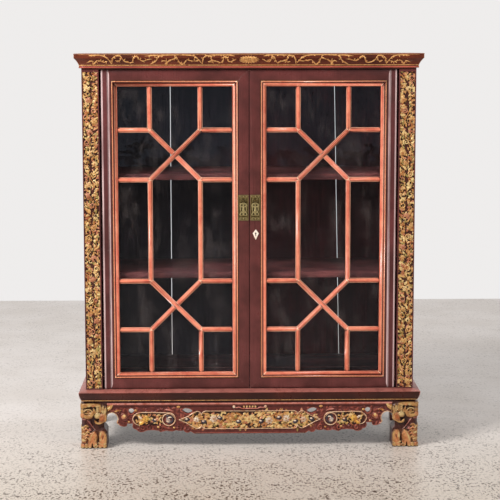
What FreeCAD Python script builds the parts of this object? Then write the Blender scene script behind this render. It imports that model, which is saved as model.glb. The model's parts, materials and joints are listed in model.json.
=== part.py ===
"""A Chinese book cabinet with two glazed lattice doors, as a parametric FreeCAD document.

Millimetres. The origin is the middle of the floor under the cabinet: +X to the right seen from
the front, +Y to the back, +Z up.
"""

import FreeCAD
import Part
import math
import os
import re

from FreeCAD import Placement, Rotation, Vector
from Sketcher import Constraint

# ---------------------------------------------------------------------------------------------
# Driving dimensions: name, value, what it is
# ---------------------------------------------------------------------------------------------
SIZES = [
    ("width", 1080, "overall width, over the cornice and the plinth"),
    ("depth", 400, "overall depth, from the cornice to the back"),
    ("height", 1242, "overall height"),
    ("overhang", 22, "cornice and plinth beyond the case, at the front and the sides"),
    ("over_cut", 1, "how far a cutting shape runs past what it cuts"),
    # crown
    ("top_thick", 20, "top board"),
    ("cornice_tall", 45, "cornice moulding"),
    ("cornice_bead", 6, "bead at the foot of the cornice: its height"),
    ("cornice_bead_out", 7, "how far that bead stands out"),
    ("cornice_step", 1.5, "small steps above the bead and under the upright edge"),
    ("cornice_lip", 15, "upright edge at the top of the cornice"),
    ("cornice_cove", 60, "radius of the cornice's hollow"),
    ("cornice_nose", 3, "rounding of the cornice's top edge"),
    ("cornice_sink", 0.8, "upright edge behind that rounding"),
    ("head_reveal", 3.5, "head rail that shows below the cornice"),
    ("head_deep", 45, "head rail, front to back"),
    # base
    ("foot_tall", 146, "floor to the underside of the plinth"),
    ("foot_wide", 85, "front foot, both ways"),
    ("foot_inset", 2, "front foot behind the plinth's edge"),
    ("plinth_tall", 41, "plinth frame"),
    ("plinth_fall", 7.5, "slope of the plinth's top outside the case"),
    ("plinth_rake", 9, "how far the plinth's face leans back towards its foot"),
    ("plinth_bow", 60, "radius of the plinth's bowed face"),
    ("plinth_groove", 6, "shadow groove under the plinth's face: its height"),
    ("groove_deep", 5, "shadow groove: its depth"),
    ("plinth_rail", 45, "plinth frame inside the case's faces"),
    ("paw_tall", 62, "front foot's paw"),
    ("paw_in", 4, "paw's edges inside its fullest part"),
    ("paw_bow", 122, "radius of the paw's bulge"),
    ("neck_top", 98, "floor to the top of the foot's neck"),
    ("neck_bow", 28, "radius of the neck's outer hollow"),
    ("neck_in", 5, "top of the neck inside the foot's fullest part"),
    ("inner_bow", 60, "radius of the neck's inner hollow"),
    ("knee_bow", 62, "radius of the knee's bulge"),
    ("foot_corner", 16, "rounding of the foot's front corner"),
    ("foot_arris", 4, "rounding of the foot's other corners"),
    ("toe_groove", 6, "grooves between toes: their radius"),
    ("toe_sink", 6.5, "grooves between toes: their depth below the foot's fullest part"),
    ("toe_tall", 40, "grooves between toes: their height"),
    ("toe_spread", 26, "between grooves"),
    ("rear_foot_taper", 6, "how much a rear foot narrows to the floor"),
    ("apron_thick", 22, "apron boards"),
    ("apron_out", 10, "apron faces in front of the case"),
    ("apron_drop", 103, "front apron at its middle"),
    ("side_apron_drop", 60, "side aprons"),
    ("side_apron_bow", 24, "rounded ends of the side aprons' foot"),
    # case
    ("pilaster_wide", 53, "carved front post"),
    ("pilaster_deep", 36, "carved front post, front to back"),
    ("pilaster_border", 4, "raised border beside the pilaster's sunk face"),
    ("pilaster_head", 12, "plain stretch over the sunk face"),
    ("pilaster_foot", 3, "plain stretch under the sunk face"),
    ("pilaster_sink", 4, "depth of the sunk face"),
    ("rear_post", 40, "rear post, both ways"),
    ("side_rail_thick", 22, "rails over and under the side panels"),
    ("side_rail_tall", 60, "rails over and under the side panels"),
    ("side_panel_thick", 10, "side panels"),
    ("side_panel_inset", 5, "side panels behind the rails' outer faces"),
    ("floor_thick", 20, "bottom board"),
    ("shelf_thick", 18, "shelves"),
    ("lower_shelf", 555, "floor to the top of the lower shelf"),
    ("upper_shelf", 866, "floor to the top of the upper shelf"),
    ("batten", 18, "shelf battens, both ways"),
    ("batten_short", 12, "how much shorter a batten is than its shelf, at each end"),
    ("back_thick", 12, "back boards"),
    ("back_rail_thick", 26, "rails that the back boards are nailed to"),
    ("back_rail_tall", 40, "rails that the back boards are nailed to"),
    ("back_gap", 2.5, "shrinkage gap between back boards"),
    ("middle_gap", 0.2, "gap between the two middle back boards"),
    ("joint_left", -256, "left joint of the back boards"),
    ("joint_right_low", 311, "right joint of the back boards, at its foot"),
    ("joint_right_high", 289, "right joint of the back boards, at its head"),
    # doors
    ("door_gap", 5.5, "pilaster to door"),
    ("meeting_gap", 2, "door to door"),
    ("door_clear", 1.5, "over and under a door"),
    ("door_thick", 24, "doors"),
    ("door_set_back", 5, "doors behind the pilasters' faces"),
    ("pivot_stile", 22, "pivot stile"),
    ("pivot_round", 4, "rounding of the pivot stile's long edges"),
    ("pin_radius", 5, "wooden pivot pins"),
    ("pin_clear", 0.08, "play round a pivot pin"),
    ("pin_long", 14.2, "pivot pins"),
    ("pin_seat", 0.3, "play at the end of a pivot pin"),
    ("outer_flat", 11, "flat of the door frame beside the pivot stile"),
    ("meeting_flat", 35, "flat of the meeting stile"),
    ("rail_flat", 34.5, "flat of the door's top and bottom rails"),
    ("mould_wide", 17, "moulding round the glass"),
    ("mould_seat", 10, "rebate that the moulding sits in: its depth"),
    ("mould_proud", 2.5, "moulding in front of the door's face"),
    ("mould_bead", 4.5, "outer bead of the moulding: its width"),
    ("mould_quirk", 2.5, "groove beside the bead: its width"),
    ("mould_quirk_deep", 4.5, "groove beside the bead: its depth"),
    ("mould_fall", 2, "inner band of the moulding below the bead"),
    ("mould_soft", 1, "softened edges of the moulding"),
    ("web_thick", 5, "tongue of the frame between the moulding and the glass"),
    ("glass_thick", 3, "panes"),
    ("glass_rebate", 10, "rebate that a pane sits in: its width"),
    ("glass_play", 0.5, "play round a pane in its rebate"),
    ("bead_lip", 2, "upright edge of the beads behind the glass"),
    ("bead_slope", 4, "how far those beads slope back"),
    ("bar_wide", 14.5, "lattice bars"),
    ("bar_deep", 11, "lattice bars"),
    ("bar_edge", 2.6, "flat edge on each side of a lattice bar's raised middle"),
    ("bar_step", 4.2, "that edge below the bar's face"),
    ("bar_bevel", 2.3, "bevels of the raised middle"),
    ("bar_spread", 157, "between the axes of the two upright bars"),
    ("bar_inner", 159.7, "middle of the lattice to the inner nodes"),
    ("bar_outer", 314.8, "middle of the lattice to the outer nodes"),
    # pulls
    ("pull_wide", 31, "pull plate"),
    ("pull_tall", 80, "pull plate"),
    ("pull_thick", 1.6, "pull plate"),
    ("pull_level", 763, "floor to the middle of the pull plates"),
    ("pull_across", 18.5, "middle of the cabinet to the middle of a pull plate"),
    ("pull_pin_drop", 17, "top of a pull plate to its pin"),
    ("pull_pin", 1.2, "pull pin radius"),
    ("pull_ear", 2.6, "ears and knuckle round the pull pin: their radius"),
    ("pull_ear_wide", 2.4, "each ear along the pin"),
    ("pull_knuckle", 9, "knuckle along the pin"),
    ("pull_play", 0.35, "play between the pull plate, its ears and the pendant"),
    ("pendant_thick", 2, "pendant"),
    ("pendant_neck", 8, "pin to the foot of the pendant's neck"),
    ("eye_across", 4.6, "middle of a pendant to the eyes in its arch"),
    ("eye_drop", 15, "pin to those eyes"),
    ("eye_radius", 2.4, "those eyes"),
    ("slot_in", 2.6, "middle of a pendant to the slots beside its gourd"),
    ("slot_out", 7, "middle of a pendant to the outer sides of those slots"),
    ("slot_top", 22, "pin to the top of the slots"),
    ("slot_foot", 34, "pin to the foot of the slots"),
    ("gourd_waist", 27, "pin to the gourd's waist"),
    ("gourd_top_bow", 3.2, "radius of the gourd's upper half"),
    ("gourd_belly_bow", 4.2, "radius of the gourd's belly"),
    ("hole_in", 3.2, "middle of a pendant to the holes in its base"),
    ("hole_out", 9, "middle of a pendant to the outer sides of those holes"),
    ("hole_top", 40.2, "pin to the top of those holes"),
    ("hole_foot", 45, "pin to the foot of those holes"),
    ("hole_lean", 2, "how far the outer sides of those holes lean in"),
    # lock
    ("lock_level", 682, "floor to the middle of the lock"),
    ("key_across", 20, "middle of the cabinet to the keyhole"),
    ("key_radius", 2.6, "round part of the keyhole"),
    ("key_slot", 2.8, "slot of the keyhole: its width"),
    ("key_slot_long", 9, "slot of the keyhole, from the centre of its round part"),
    ("plate_wide", 19, "escutcheon"),
    ("plate_up", 12.5, "escutcheon above the keyhole's centre"),
    ("plate_down", 21, "escutcheon below the keyhole's centre"),
    ("plate_thick", 1.5, "escutcheon"),
    ("lock_wide", 40, "lock case"),
    ("lock_tall", 60, "lock case"),
    ("lock_deep", 11, "lock case"),
    ("lock_inset", 1, "lock case and keeper behind the meeting edges"),
    ("bolt_set_back", 2.7, "door's back to the lock bolt"),
    ("bolt_thick", 5.5, "lock bolt"),
    ("bolt_tall", 17, "lock bolt"),
    ("bolt_long", 24, "lock bolt"),
    ("bolt_play", 0.3, "play round the lock bolt"),
    ("bolt_throw", 8, "travel of the lock bolt"),
    ("keeper_wide", 18, "keeper"),
    ("keeper_tall", 30, "keeper"),
    ("keeper_wall", 2.5, "keeper walls beside the bolt"),
]

# ---------------------------------------------------------------------------------------------
# Points of curved outlines: name, distance across, drop, and the arc to the next point: its
# radius and 1 where it bulges or -1 where it is hollow, or 0 and 0 for a straight side
# ---------------------------------------------------------------------------------------------
# Foot of the front apron from its middle to the right foot, in from that foot and down from
# the plinth
APRON = [
    ("middle_end", 277, 103, 0, 0),
    ("middle_lip", 265, 95, 13, 1),
    ("inner_leaf", 243, 91, 30, 1),
    ("inner_leaf_end", 219, 91, 32, 1),
    ("volute_foot", 190, 92, 0, 0),
    ("volute_tip", 170, 97, 0, 0),
    ("panel_foot", 162, 92, 120, -1),
    ("panel_belly", 123, 92, 20, 1),
    ("panel_end", 93, 88, 12, 1),
    ("step_foot", 83, 69, 0, 0),
    ("step_end", 64, 69, 8, 1),
    ("outer_leaf", 61, 78, 30, 1),
    ("outer_leaf_end", 32, 68, 6, 1),
    ("hollow_top", 33, 60, 19, -1),
    ("foot_joint", 0, 42, 0, 0),
]
LONG_HOLE = [
    ("long_inner", 272, 29, 16, 1),
    ("long_foot", 255.5, 38, 30, 1),
    ("long_outer", 239, 27, 14, 1),
    ("long_top", 251.5, 20, 30, 1),
]
SMALL_HOLE = [
    ("small_inner", 87, 26, 16, 1),
    ("small_foot", 78, 38, 11, 1),
    ("small_outer", 69, 25, 11, 1),
    ("small_top", 80, 20, 14, 1),
]
# Right edge of a pendant from its foot to its neck, out from its middle and down from its pin
PENDANT = [
    ("pendant_foot", 12.5, 48, 0, 0),
    ("pendant_base", 12.5, 43, 12, -1),
    ("pendant_waist", 9.4, 34, 22, 1),
    ("pendant_shoulder", 11.5, 21, 9, 1),
]

# ---------------------------------------------------------------------------------------------
# Places worked out from them: name, formula, what it is
# ---------------------------------------------------------------------------------------------
PLACES = [
    ("case_half", "width / 2 - overhang", "middle to the case's sides"),
    ("case_front", "overhang - depth / 2", "front of the case"),
    ("back", "depth / 2", "back of the cabinet"),
    ("plinth_top", "foot_tall + plinth_tall", "top of the plinth"),
    ("foot_face", "foot_inset - depth / 2", "front of the front feet"),
    ("foot_outer", "width / 2 - foot_inset", "middle to a front foot's outer side"),
    ("foot_inner", "foot_outer - foot_wide", "middle to a front foot's inner side"),
    ("top_under", "height - top_thick", "underside of the top board"),
    ("cornice_foot", "height - cornice_tall", "foot of the cornice"),
    ("head_foot", "cornice_foot - head_reveal", "underside of the head rail"),
    ("open_half", "case_half - pilaster_wide", "middle to a pilaster's inner side"),
    ("pilaster_back", "case_front + pilaster_deep", "back of a pilaster"),
    ("rear_front", "back - rear_post", "front of a rear post"),
    ("rear_inner", "case_half - rear_post", "middle to a rear post's inner side"),
    ("frame_inner", "case_half - plinth_rail", "middle to the plinth frame's inner edge"),
    ("frame_front", "case_front + plinth_rail", "inner edge of the plinth's front"),
    ("frame_back", "back - plinth_rail", "inner edge of the plinth's back rail"),
    ("panel_out", "case_half - side_panel_inset", "middle to a side panel's outer face"),
    ("panel_in", "panel_out - side_panel_thick", "middle to a side panel's inner face"),
    ("boards_front", "back - back_thick", "front of the back boards"),
    ("door_front", "case_front + door_set_back", "face of the doors"),
    ("door_back", "door_front + door_thick", "back of the doors"),
    ("door_foot", "plinth_top + door_clear", "foot of the doors"),
    ("door_head", "head_foot - door_clear", "head of the doors"),
    ("door_in", "meeting_gap / 2", "middle to a door's meeting edge"),
    ("door_out", "open_half - door_gap", "middle to a door's pivot edge"),
    ("pivot_across", "door_out - pivot_stile / 2", "middle to a door's axis"),
    ("pivot_deep", "door_front + door_thick / 2", "a door's axis, front to back"),
    ("frame_out", "door_out - pivot_stile", "middle to the outer stile's edge"),
    ("flat_out", "frame_out - outer_flat", "middle to the moulding's outer edge there"),
    ("sight_out", "flat_out - mould_wide", "middle to the glass there"),
    ("flat_in", "door_in + meeting_flat", "middle to the moulding at the meeting side"),
    ("sight_in", "flat_in + mould_wide", "middle to the glass at the meeting side"),
    ("flat_foot", "door_foot + rail_flat", "foot of the moulding"),
    ("sight_foot", "flat_foot + mould_wide", "foot of the glass"),
    ("flat_head", "door_head - rail_flat", "head of the moulding"),
    ("sight_head", "flat_head - mould_wide", "head of the glass"),
    ("sight_across", "(sight_in + sight_out) / 2", "middle of a pane"),
    ("sight_level", "(sight_foot + sight_head) / 2", "middle of a pane"),
    ("web_front", "door_front + mould_seat", "front of the frame's tongue"),
    ("glass_front", "web_front + web_thick", "front of the panes"),
    ("glass_back", "glass_front + glass_thick", "back of the panes"),
    ("pull_front", "door_front - pull_thick", "face of the pull plates"),
    ("pin_level", "pull_level + pull_tall / 2 - pull_pin_drop", "pull pins"),
    ("pin_deep", "pull_front - pull_play - pull_ear", "pull pins, front to back"),
    ("lock_in", "door_in + lock_inset", "middle to the lock case"),
    ("bolt_front", "door_back + bolt_set_back", "front of the lock bolt"),
]

SIDES = (("left", -1), ("right", 1))

doc = FreeCAD.newDocument("BookCabinet")
parts = []
homes = {}


def bound(formula):
    """The formula with each name tied to the sheet that holds it."""

    def tie(found):
        word = found.group(0)
        return f"{homes[word]}.{word}" if word in homes else word

    return re.sub(r"[a-z_]+", tie, str(formula))


def make_sheet(title, rows):
    """A sheet of named values: rows are (name, value or formula, note)."""
    sheet = doc.addObject("Spreadsheet::Sheet", title)
    for row, (name, _, note) in enumerate(rows, start=1):
        sheet.set(f"A{row}", name)
        sheet.set(f"C{row}", note)
        sheet.setAlias(f"B{row}", name)
        homes[name] = title
    doc.recompute()
    for row, (_, value, _) in enumerate(rows, start=1):
        formula = isinstance(value, str)
        sheet.set(f"B{row}", "=" + bound(value).replace(title + ".", "") if formula else str(value))
    doc.recompute()


def outline_rows():
    """The cells of the curved outlines."""
    rows = []
    for name, across, drop, radius, way in APRON + LONG_HOLE + SMALL_HOLE + PENDANT:
        rows.append((f"{name}_across", across, "distance across"))
        rows.append((f"{name}_drop", drop, "drop"))
        if way:
            rows.append((f"{name}_bow", radius, "radius of the arc that follows"))
    return rows


make_sheet("Sizes", SIZES)
make_sheet("Outlines", outline_rows())
make_sheet("Places", PLACES)
probe = doc.addObject("App::FeaturePython", "Probe")
probe.addProperty("App::PropertyFloat", "Amount")


def amount(formula):
    """The formula's value now."""
    probe.setExpression("Amount", bound(formula))
    probe.recompute()
    return probe.Amount


def bind(item, **formulas):
    """Ties properties of an object to formulas."""
    for name, formula in formulas.items():
        item.setExpression(name, bound(formula))


def place(item, across, deep, level):
    """Ties an object's position to formulas."""
    item.setExpression("Placement.Base.x", bound(across))
    item.setExpression("Placement.Base.y", bound(deep))
    item.setExpression("Placement.Base.z", bound(level))


def part(item, label):
    """Names a finished sub-part."""
    item.Label = label
    parts.append(item)
    return item


# ---------------------------------------------------------------------------------------------
# Part primitives
# ---------------------------------------------------------------------------------------------
def block(name, across, deep, level):
    """A box between pairs of formulas."""
    item = doc.addObject("Part::Box", name)
    bind(
        item,
        Length=f"({across[1]}) - ({across[0]})",
        Width=f"({deep[1]}) - ({deep[0]})",
        Height=f"({level[1]}) - ({level[0]})",
    )
    place(item, across[0], deep[0], level[0])
    return item


def mirrored_block(name, sign, near, far, deep, level):
    """A box on one side of the cabinet, between two distances from its middle."""
    ends = (near, far) if sign > 0 else (f"-({far})", f"-({near})")
    return block(name, ends, deep, level)


def rod(name, radius, length, across, deep, level, along=Vector(0, 0, 1)):
    """A cylinder from a point, along an axis."""
    item = doc.addObject("Part::Cylinder", name)
    bind(item, Radius=radius, Height=length)
    item.Placement = Placement(Vector(), Rotation(Vector(0, 0, 1), along))
    place(item, across, deep, level)
    return item


def cut(name, base, tools):
    """The base less its tools."""
    item = doc.addObject("Part::Cut", name)
    item.Base = base
    item.Tool = tools[0] if len(tools) == 1 else join(name + "_tools", tools)
    return item


def join(name, shapes):
    """Several shapes as one solid."""
    item = doc.addObject("Part::MultiFuse", name)
    item.Shapes = shapes
    return item


def group(name, shapes):
    """Several separate solids as one sub-part."""
    item = doc.addObject("Part::Compound", name)
    item.Links = shapes
    return item


# ---------------------------------------------------------------------------------------------
# PartDesign bodies: outlines whose corners are tied to formulas, padded and pocketed
# ---------------------------------------------------------------------------------------------
def new_body(name):
    """An empty body."""
    return doc.addObject("PartDesign::Body", name)


def new_sketch(body, plane, level):
    """A sketch parallel to one of the body's origin planes.

    level is the height along +Z for XY, and the place along +Y for XZ and along +X for YZ.
    """
    sketch = body.newObject("Sketcher::SketchObject", body.Name + "_outline")
    origin = [f for f in body.Origin.OriginFeatures if f.Role == plane + "_Plane"][0]
    sketch.AttachmentSupport = [(origin, "")]
    sketch.MapMode = "FlatFace"
    towards = f"-({level})" if plane == "XZ" else level
    sketch.setExpression("AttachmentOffset.Base.z", bound(towards))
    return sketch


def bend(start, end, radius, side):
    """An arc from start to end, and the numbers of its ends. side is 1 to bulge to the right."""
    chord = end - start
    right = Vector(chord.y, -chord.x, 0).normalize()
    inset = math.sqrt(radius * radius - chord.Length * chord.Length / 4)
    centre = start + chord * 0.5 - right * (side * inset)
    first, last = (start, end) if side > 0 else (end, start)
    turns = [math.atan2(p.y - centre.y, p.x - centre.x) for p in (first, last)]
    if turns[1] < turns[0]:
        turns[1] += 2 * math.pi
    arc = Part.ArcOfCircle(Part.Circle(centre, Vector(0, 0, 1), radius), *turns)
    return (arc, 1, 2) if side > 0 else (arc, 2, 1)


def outline(sketch, corners):
    """Draws a closed outline through corners, each a pair of formulas.

    A third and fourth item bend the side that follows: its radius, and 1 to bulge to the right
    of the way along the outline or -1 to the left.
    """
    points = [Vector(amount(c[0]), amount(c[1]), 0) for c in corners]
    first = len(sketch.Geometry)
    starts, ends = [], []
    for index, corner in enumerate(corners):
        begin, finish = points[index], points[(index + 1) % len(points)]
        if len(corner) == 2:
            side, head, tail = Part.LineSegment(begin, finish), 1, 2
        else:
            side, head, tail = bend(begin, finish, amount(corner[2]), corner[3])
        sketch.addGeometry(side)
        starts.append(head)
        ends.append(tail)
    tie_outline(sketch, corners, first, starts, ends)


def tie_outline(sketch, corners, first, starts, ends):
    """Joins the sides of an outline end to end and ties each corner to its formulas."""
    count = len(corners)
    for index, corner in enumerate(corners):
        side, after = first + index, first + (index + 1) % count
        sketch.addConstraint(
            Constraint("Coincident", side, ends[index], after, starts[(index + 1) % count])
        )
        for kind, formula in (("DistanceX", corner[0]), ("DistanceY", corner[1])):
            rule = Constraint(kind, -1, 1, side, starts[index], amount(formula))
            number = sketch.addConstraint(rule)
            sketch.setExpression(f"Constraints[{number}]", bound(formula))
        if len(corner) > 2:
            number = sketch.addConstraint(Constraint("Radius", side, amount(corner[2])))
            sketch.setExpression(f"Constraints[{number}]", bound(corner[2]))


def ring(sketch, across, up, radius):
    """Draws a circle whose centre and radius are tied to formulas."""
    centre = Vector(amount(across), amount(up), 0)
    index = sketch.addGeometry(Part.Circle(centre, Vector(0, 0, 1), amount(radius)))
    for kind, formula in (("DistanceX", across), ("DistanceY", up)):
        number = sketch.addConstraint(Constraint(kind, -1, 1, index, 3, amount(formula)))
        sketch.setExpression(f"Constraints[{number}]", bound(formula))
    number = sketch.addConstraint(Constraint("Radius", index, amount(radius)))
    sketch.setExpression(f"Constraints[{number}]", bound(radius))


def pad(body, plane, span, *outlines):
    """Pads outlines between two places along the plane's axis."""
    low, high = span
    sketch = new_sketch(body, plane, high if plane == "XZ" else low)
    for corners in outlines:
        outline(sketch, corners)
    feature = body.newObject("PartDesign::Pad", body.Name + "_pad")
    feature.Profile = sketch
    bind(feature, Length=f"({high}) - ({low})")
    body.Tip = feature
    doc.recompute()


def pocket(body, plane, span, *outlines, rings=()):
    """Cuts outlines and rings out of the body between two places along the plane's axis."""
    low, high = span
    sketch = new_sketch(body, plane, low if plane == "XZ" else high)
    for corners in outlines:
        outline(sketch, corners)
    for across, up, radius in rings:
        ring(sketch, across, up, radius)
    before = body.Shape.Volume
    feature = body.newObject("PartDesign::Pocket", body.Name + "_pocket")
    feature.Profile = sketch
    bind(feature, Length=f"({high}) - ({low})")
    body.Tip = feature
    doc.recompute()
    if body.Shape.Volume >= before:
        raise RuntimeError(f"the pocket in {body.Name} cuts nothing")


def rectangle(across, up):
    """The corners of a rectangle between pairs of formulas."""
    return [(across[0], up[0]), (across[1], up[0]), (across[1], up[1]), (across[0], up[1])]


def drawn_points(rows, out, down):
    """Corners for rows of an outline: out and down turn a row's formulas into places."""
    corners = []
    for name, _, _, _, way in rows:
        curve = (f"{name}_bow", way) if way else ()
        corners.append((out(f"{name}_across"), down(f"{name}_drop")) + curve)
    return corners


def both_sides(right, middle):
    """An outline from its right half, listed from its foot up, mirrored about a middle."""
    left = []
    for index, corner in enumerate(right):
        curve = right[index - 1][2:] if index else ()
        left.append((f"{middle} - ({corner[0]})", corner[1]) + curve)
    left.reverse()
    return left + [(f"{middle} + ({corner[0]})",) + corner[1:] for corner in right]


def flipped(corners, sign):
    """An outline on the cabinet's right side, or its mirror image on the left."""
    if sign > 0:
        return corners
    turned = []
    for corner in corners:
        curve = (corner[2], -corner[3]) if len(corner) > 2 else ()
        turned.append((f"-({corner[0]})", corner[1]) + curve)
    return turned


# ---------------------------------------------------------------------------------------------
# The case
# ---------------------------------------------------------------------------------------------
def cornice_profile(foot):
    """Corners of the cornice's section, as (out from the case, level)."""
    level = f"{foot} + "
    return [
        ("0", foot),
        ("cornice_bead_out", foot),
        ("cornice_bead_out", level + "cornice_bead"),
        ("cornice_bead_out - cornice_step", level + "cornice_bead", "cornice_cove", -1),
        ("overhang - cornice_step", level + "cornice_tall - cornice_lip"),
        ("overhang - cornice_sink", level + "cornice_tall - cornice_lip"),
        ("overhang - cornice_sink", level + "cornice_tall - cornice_nose"),
        ("overhang", level + "cornice_tall - cornice_nose", "cornice_nose", 1),
        ("overhang - cornice_nose", level + "cornice_tall"),
        ("0", level + "cornice_tall"),
    ]


def plinth_profile():
    """Corners of the plinth frame's section, as (out from the case, level)."""
    groove_head = "foot_tall + plinth_groove"
    return [
        ("-plinth_rail", "foot_tall"),
        ("overhang - plinth_rake - groove_deep", "foot_tall"),
        ("overhang - plinth_rake - groove_deep", groove_head),
        ("overhang - plinth_rake", groove_head, "plinth_bow", 1),
        ("overhang", "plinth_top - plinth_fall"),
        ("0", "plinth_top"),
        ("-plinth_rail", "plinth_top"),
    ]


def turned_out(profile, face, sign):
    """A section whose distances out are counted from a face of the case."""
    turned = []
    for corner in profile:
        curve = (corner[2], corner[3] * sign) if len(corner) > 2 else ()
        out = f"{face} + ({corner[0]})" if sign > 0 else f"{face} - ({corner[0]})"
        turned.append((out, corner[1]) + curve)
    return turned


def moulding_front(name, profile, inner, levels):
    """The front length of a moulding, mitred at both ends. inner is how far it reaches in."""
    body = new_body(name)
    pad(body, "YZ", ("-width / 2", "width / 2"), turned_out(profile, "case_front", -1))
    low, high = levels
    edge = "-depth / 2"
    reach = f"(overhang + {inner})"
    waste = [
        ("width / 2 + over_cut", f"{edge} - over_cut"),
        ("width / 2 + over_cut", f"{edge} + {reach} + over_cut"),
        (f"width / 2 - {reach} - over_cut", f"{edge} + {reach} + over_cut"),
    ]
    levels = (f"{low} - over_cut", f"{high} + over_cut")
    pocket(body, "XY", levels, waste, flipped(waste, -1))
    return part(body, name)


def moulding_side(name, sign, profile, inner, levels):
    """A side length of a moulding, mitred at the front and square at the back."""
    body = new_body(name)
    face = "case_half" if sign > 0 else "-case_half"
    pad(body, "XZ", ("-depth / 2", "back"), turned_out(profile, face, sign))
    low, high = levels
    edge = "-depth / 2"
    reach = f"(overhang + {inner})"
    waste = [
        (f"width / 2 - {reach} - over_cut", f"{edge} - over_cut"),
        ("width / 2 + over_cut", f"{edge} - over_cut"),
        (f"width / 2 - {reach} - over_cut", f"{edge} + {reach} + over_cut"),
    ]
    pocket(body, "XY", (f"{low} - over_cut", f"{high} + over_cut"), flipped(waste, sign))
    return part(body, name)


def make_crown():
    """Top board, cornice and head rail."""
    part(
        block("TopBoard", ("-case_half", "case_half"), ("case_front", "back"), ("top_under", "height")),
        "top_board",
    )
    levels = ("cornice_foot", "height")
    profile = cornice_profile("cornice_foot")
    moulding_front("cornice_front", profile, "0", levels)
    for side, sign in SIDES:
        moulding_side(f"cornice_{side}", sign, profile, "0", levels)
    rail = block(
        "HeadRailBlank",
        ("-open_half", "open_half"),
        ("case_front", "case_front + head_deep"),
        ("head_foot", "top_under"),
    )
    holes = [
        rod(
            f"head_hole_{side}",
            "pin_radius + pin_clear",
            "pin_long - door_clear + pin_seat",
            f"{sign} * pivot_across",
            "pivot_deep",
            "head_foot",
        )
        for side, sign in SIDES
    ]
    part(cut("HeadRail", rail, holes), "head_rail")


def make_plinth():
    """The mitred plinth frame, bored for the doors' lower pins, and its plain back rail."""
    levels = ("foot_tall", "plinth_top")
    front = moulding_front("plinth_front", plinth_profile(), "plinth_rail", levels)
    radius = "pin_radius + pin_clear"
    pocket(
        front,
        "XY",
        ("plinth_top - pin_long + door_clear - pin_seat", "plinth_top"),
        rings=[(f"{sign} * pivot_across", "pivot_deep", radius) for _, sign in SIDES],
    )
    for side, sign in SIDES:
        moulding_side(f"plinth_{side}", sign, plinth_profile(), "plinth_rail", levels)
    part(
        block("PlinthRear", ("-frame_inner", "frame_inner"), ("frame_back", "back"), levels),
        "plinth_rear",
    )
    part(
        block(
            "BottomBoard",
            ("-frame_inner", "frame_inner"),
            ("frame_front", "frame_back"),
            ("plinth_top - floor_thick", "plinth_top"),
        ),
        "bottom_board",
    )


def make_posts():
    """The pilasters, each with a long sunk face between raised borders, and the rear posts."""
    levels = ("plinth_top", "top_under")
    for side, sign in SIDES:
        body = new_body(f"{side}_front_post")
        plan = rectangle(("open_half", "case_half"), ("case_front", "pilaster_back"))
        pad(body, "XY", levels, flipped(plan, sign))
        sunk = rectangle(
            ("open_half + pilaster_border", "case_half - pilaster_border"),
            ("plinth_top + pilaster_foot", "cornice_foot - pilaster_head"),
        )
        pocket(body, "XZ", ("case_front", "case_front + pilaster_sink"), flipped(sunk, sign))
        part(body, f"{side}_pilaster")
        rear = mirrored_block(
            f"{side}_rear_post_blank", sign, "rear_inner", "case_half", ("rear_front", "back"), levels
        )
        part(rear, f"{side}_rear_post")


def make_sides():
    """Each side: a panel between a top and a bottom rail."""
    deep = ("pilaster_back", "rear_front")
    for side, sign in SIDES:
        inner = "case_half - side_rail_thick"
        low = mirrored_block(
            f"{side}_low_rail", sign, inner, "case_half", deep, ("plinth_top", "plinth_top + side_rail_tall")
        )
        high = mirrored_block(
            f"{side}_high_rail", sign, inner, "case_half", deep, ("top_under - side_rail_tall", "top_under")
        )
        part(group(f"{side}_rails", [low, high]), f"{side}_side_rails")
        panel = mirrored_block(
            f"{side}_panel",
            sign,
            "panel_in",
            "panel_out",
            deep,
            ("plinth_top + side_rail_tall", "top_under - side_rail_tall"),
        )
        part(panel, f"{side}_side_panel")


def make_shelves():
    """Two shelves, notched round the rear posts, and the battens that carry them."""
    corners = [
        ("-panel_in", "pilaster_back"),
        ("panel_in", "pilaster_back"),
        ("panel_in", "rear_front"),
        ("rear_inner", "rear_front"),
        ("rear_inner", "boards_front"),
        ("-rear_inner", "boards_front"),
        ("-rear_inner", "rear_front"),
        ("-panel_in", "rear_front"),
    ]
    for name in ("lower_shelf", "upper_shelf"):
        body = new_body(name + "_board")
        pad(body, "XY", (f"{name} - shelf_thick", name), corners)
        part(body, name)
    deep = ("pilaster_back + batten_short", "rear_front - batten_short")
    for side, sign in SIDES:
        battens = []
        for name in ("lower_shelf", "upper_shelf"):
            foot = f"{name} - shelf_thick - batten"
            battens.append(
                mirrored_block(
                    f"{side}_{name}_batten",
                    sign,
                    "panel_in - batten",
                    "panel_in",
                    deep,
                    (foot, f"{name} - shelf_thick"),
                )
            )
        part(group(f"{side}_battens", battens), f"{side}_shelf_battens")


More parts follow.
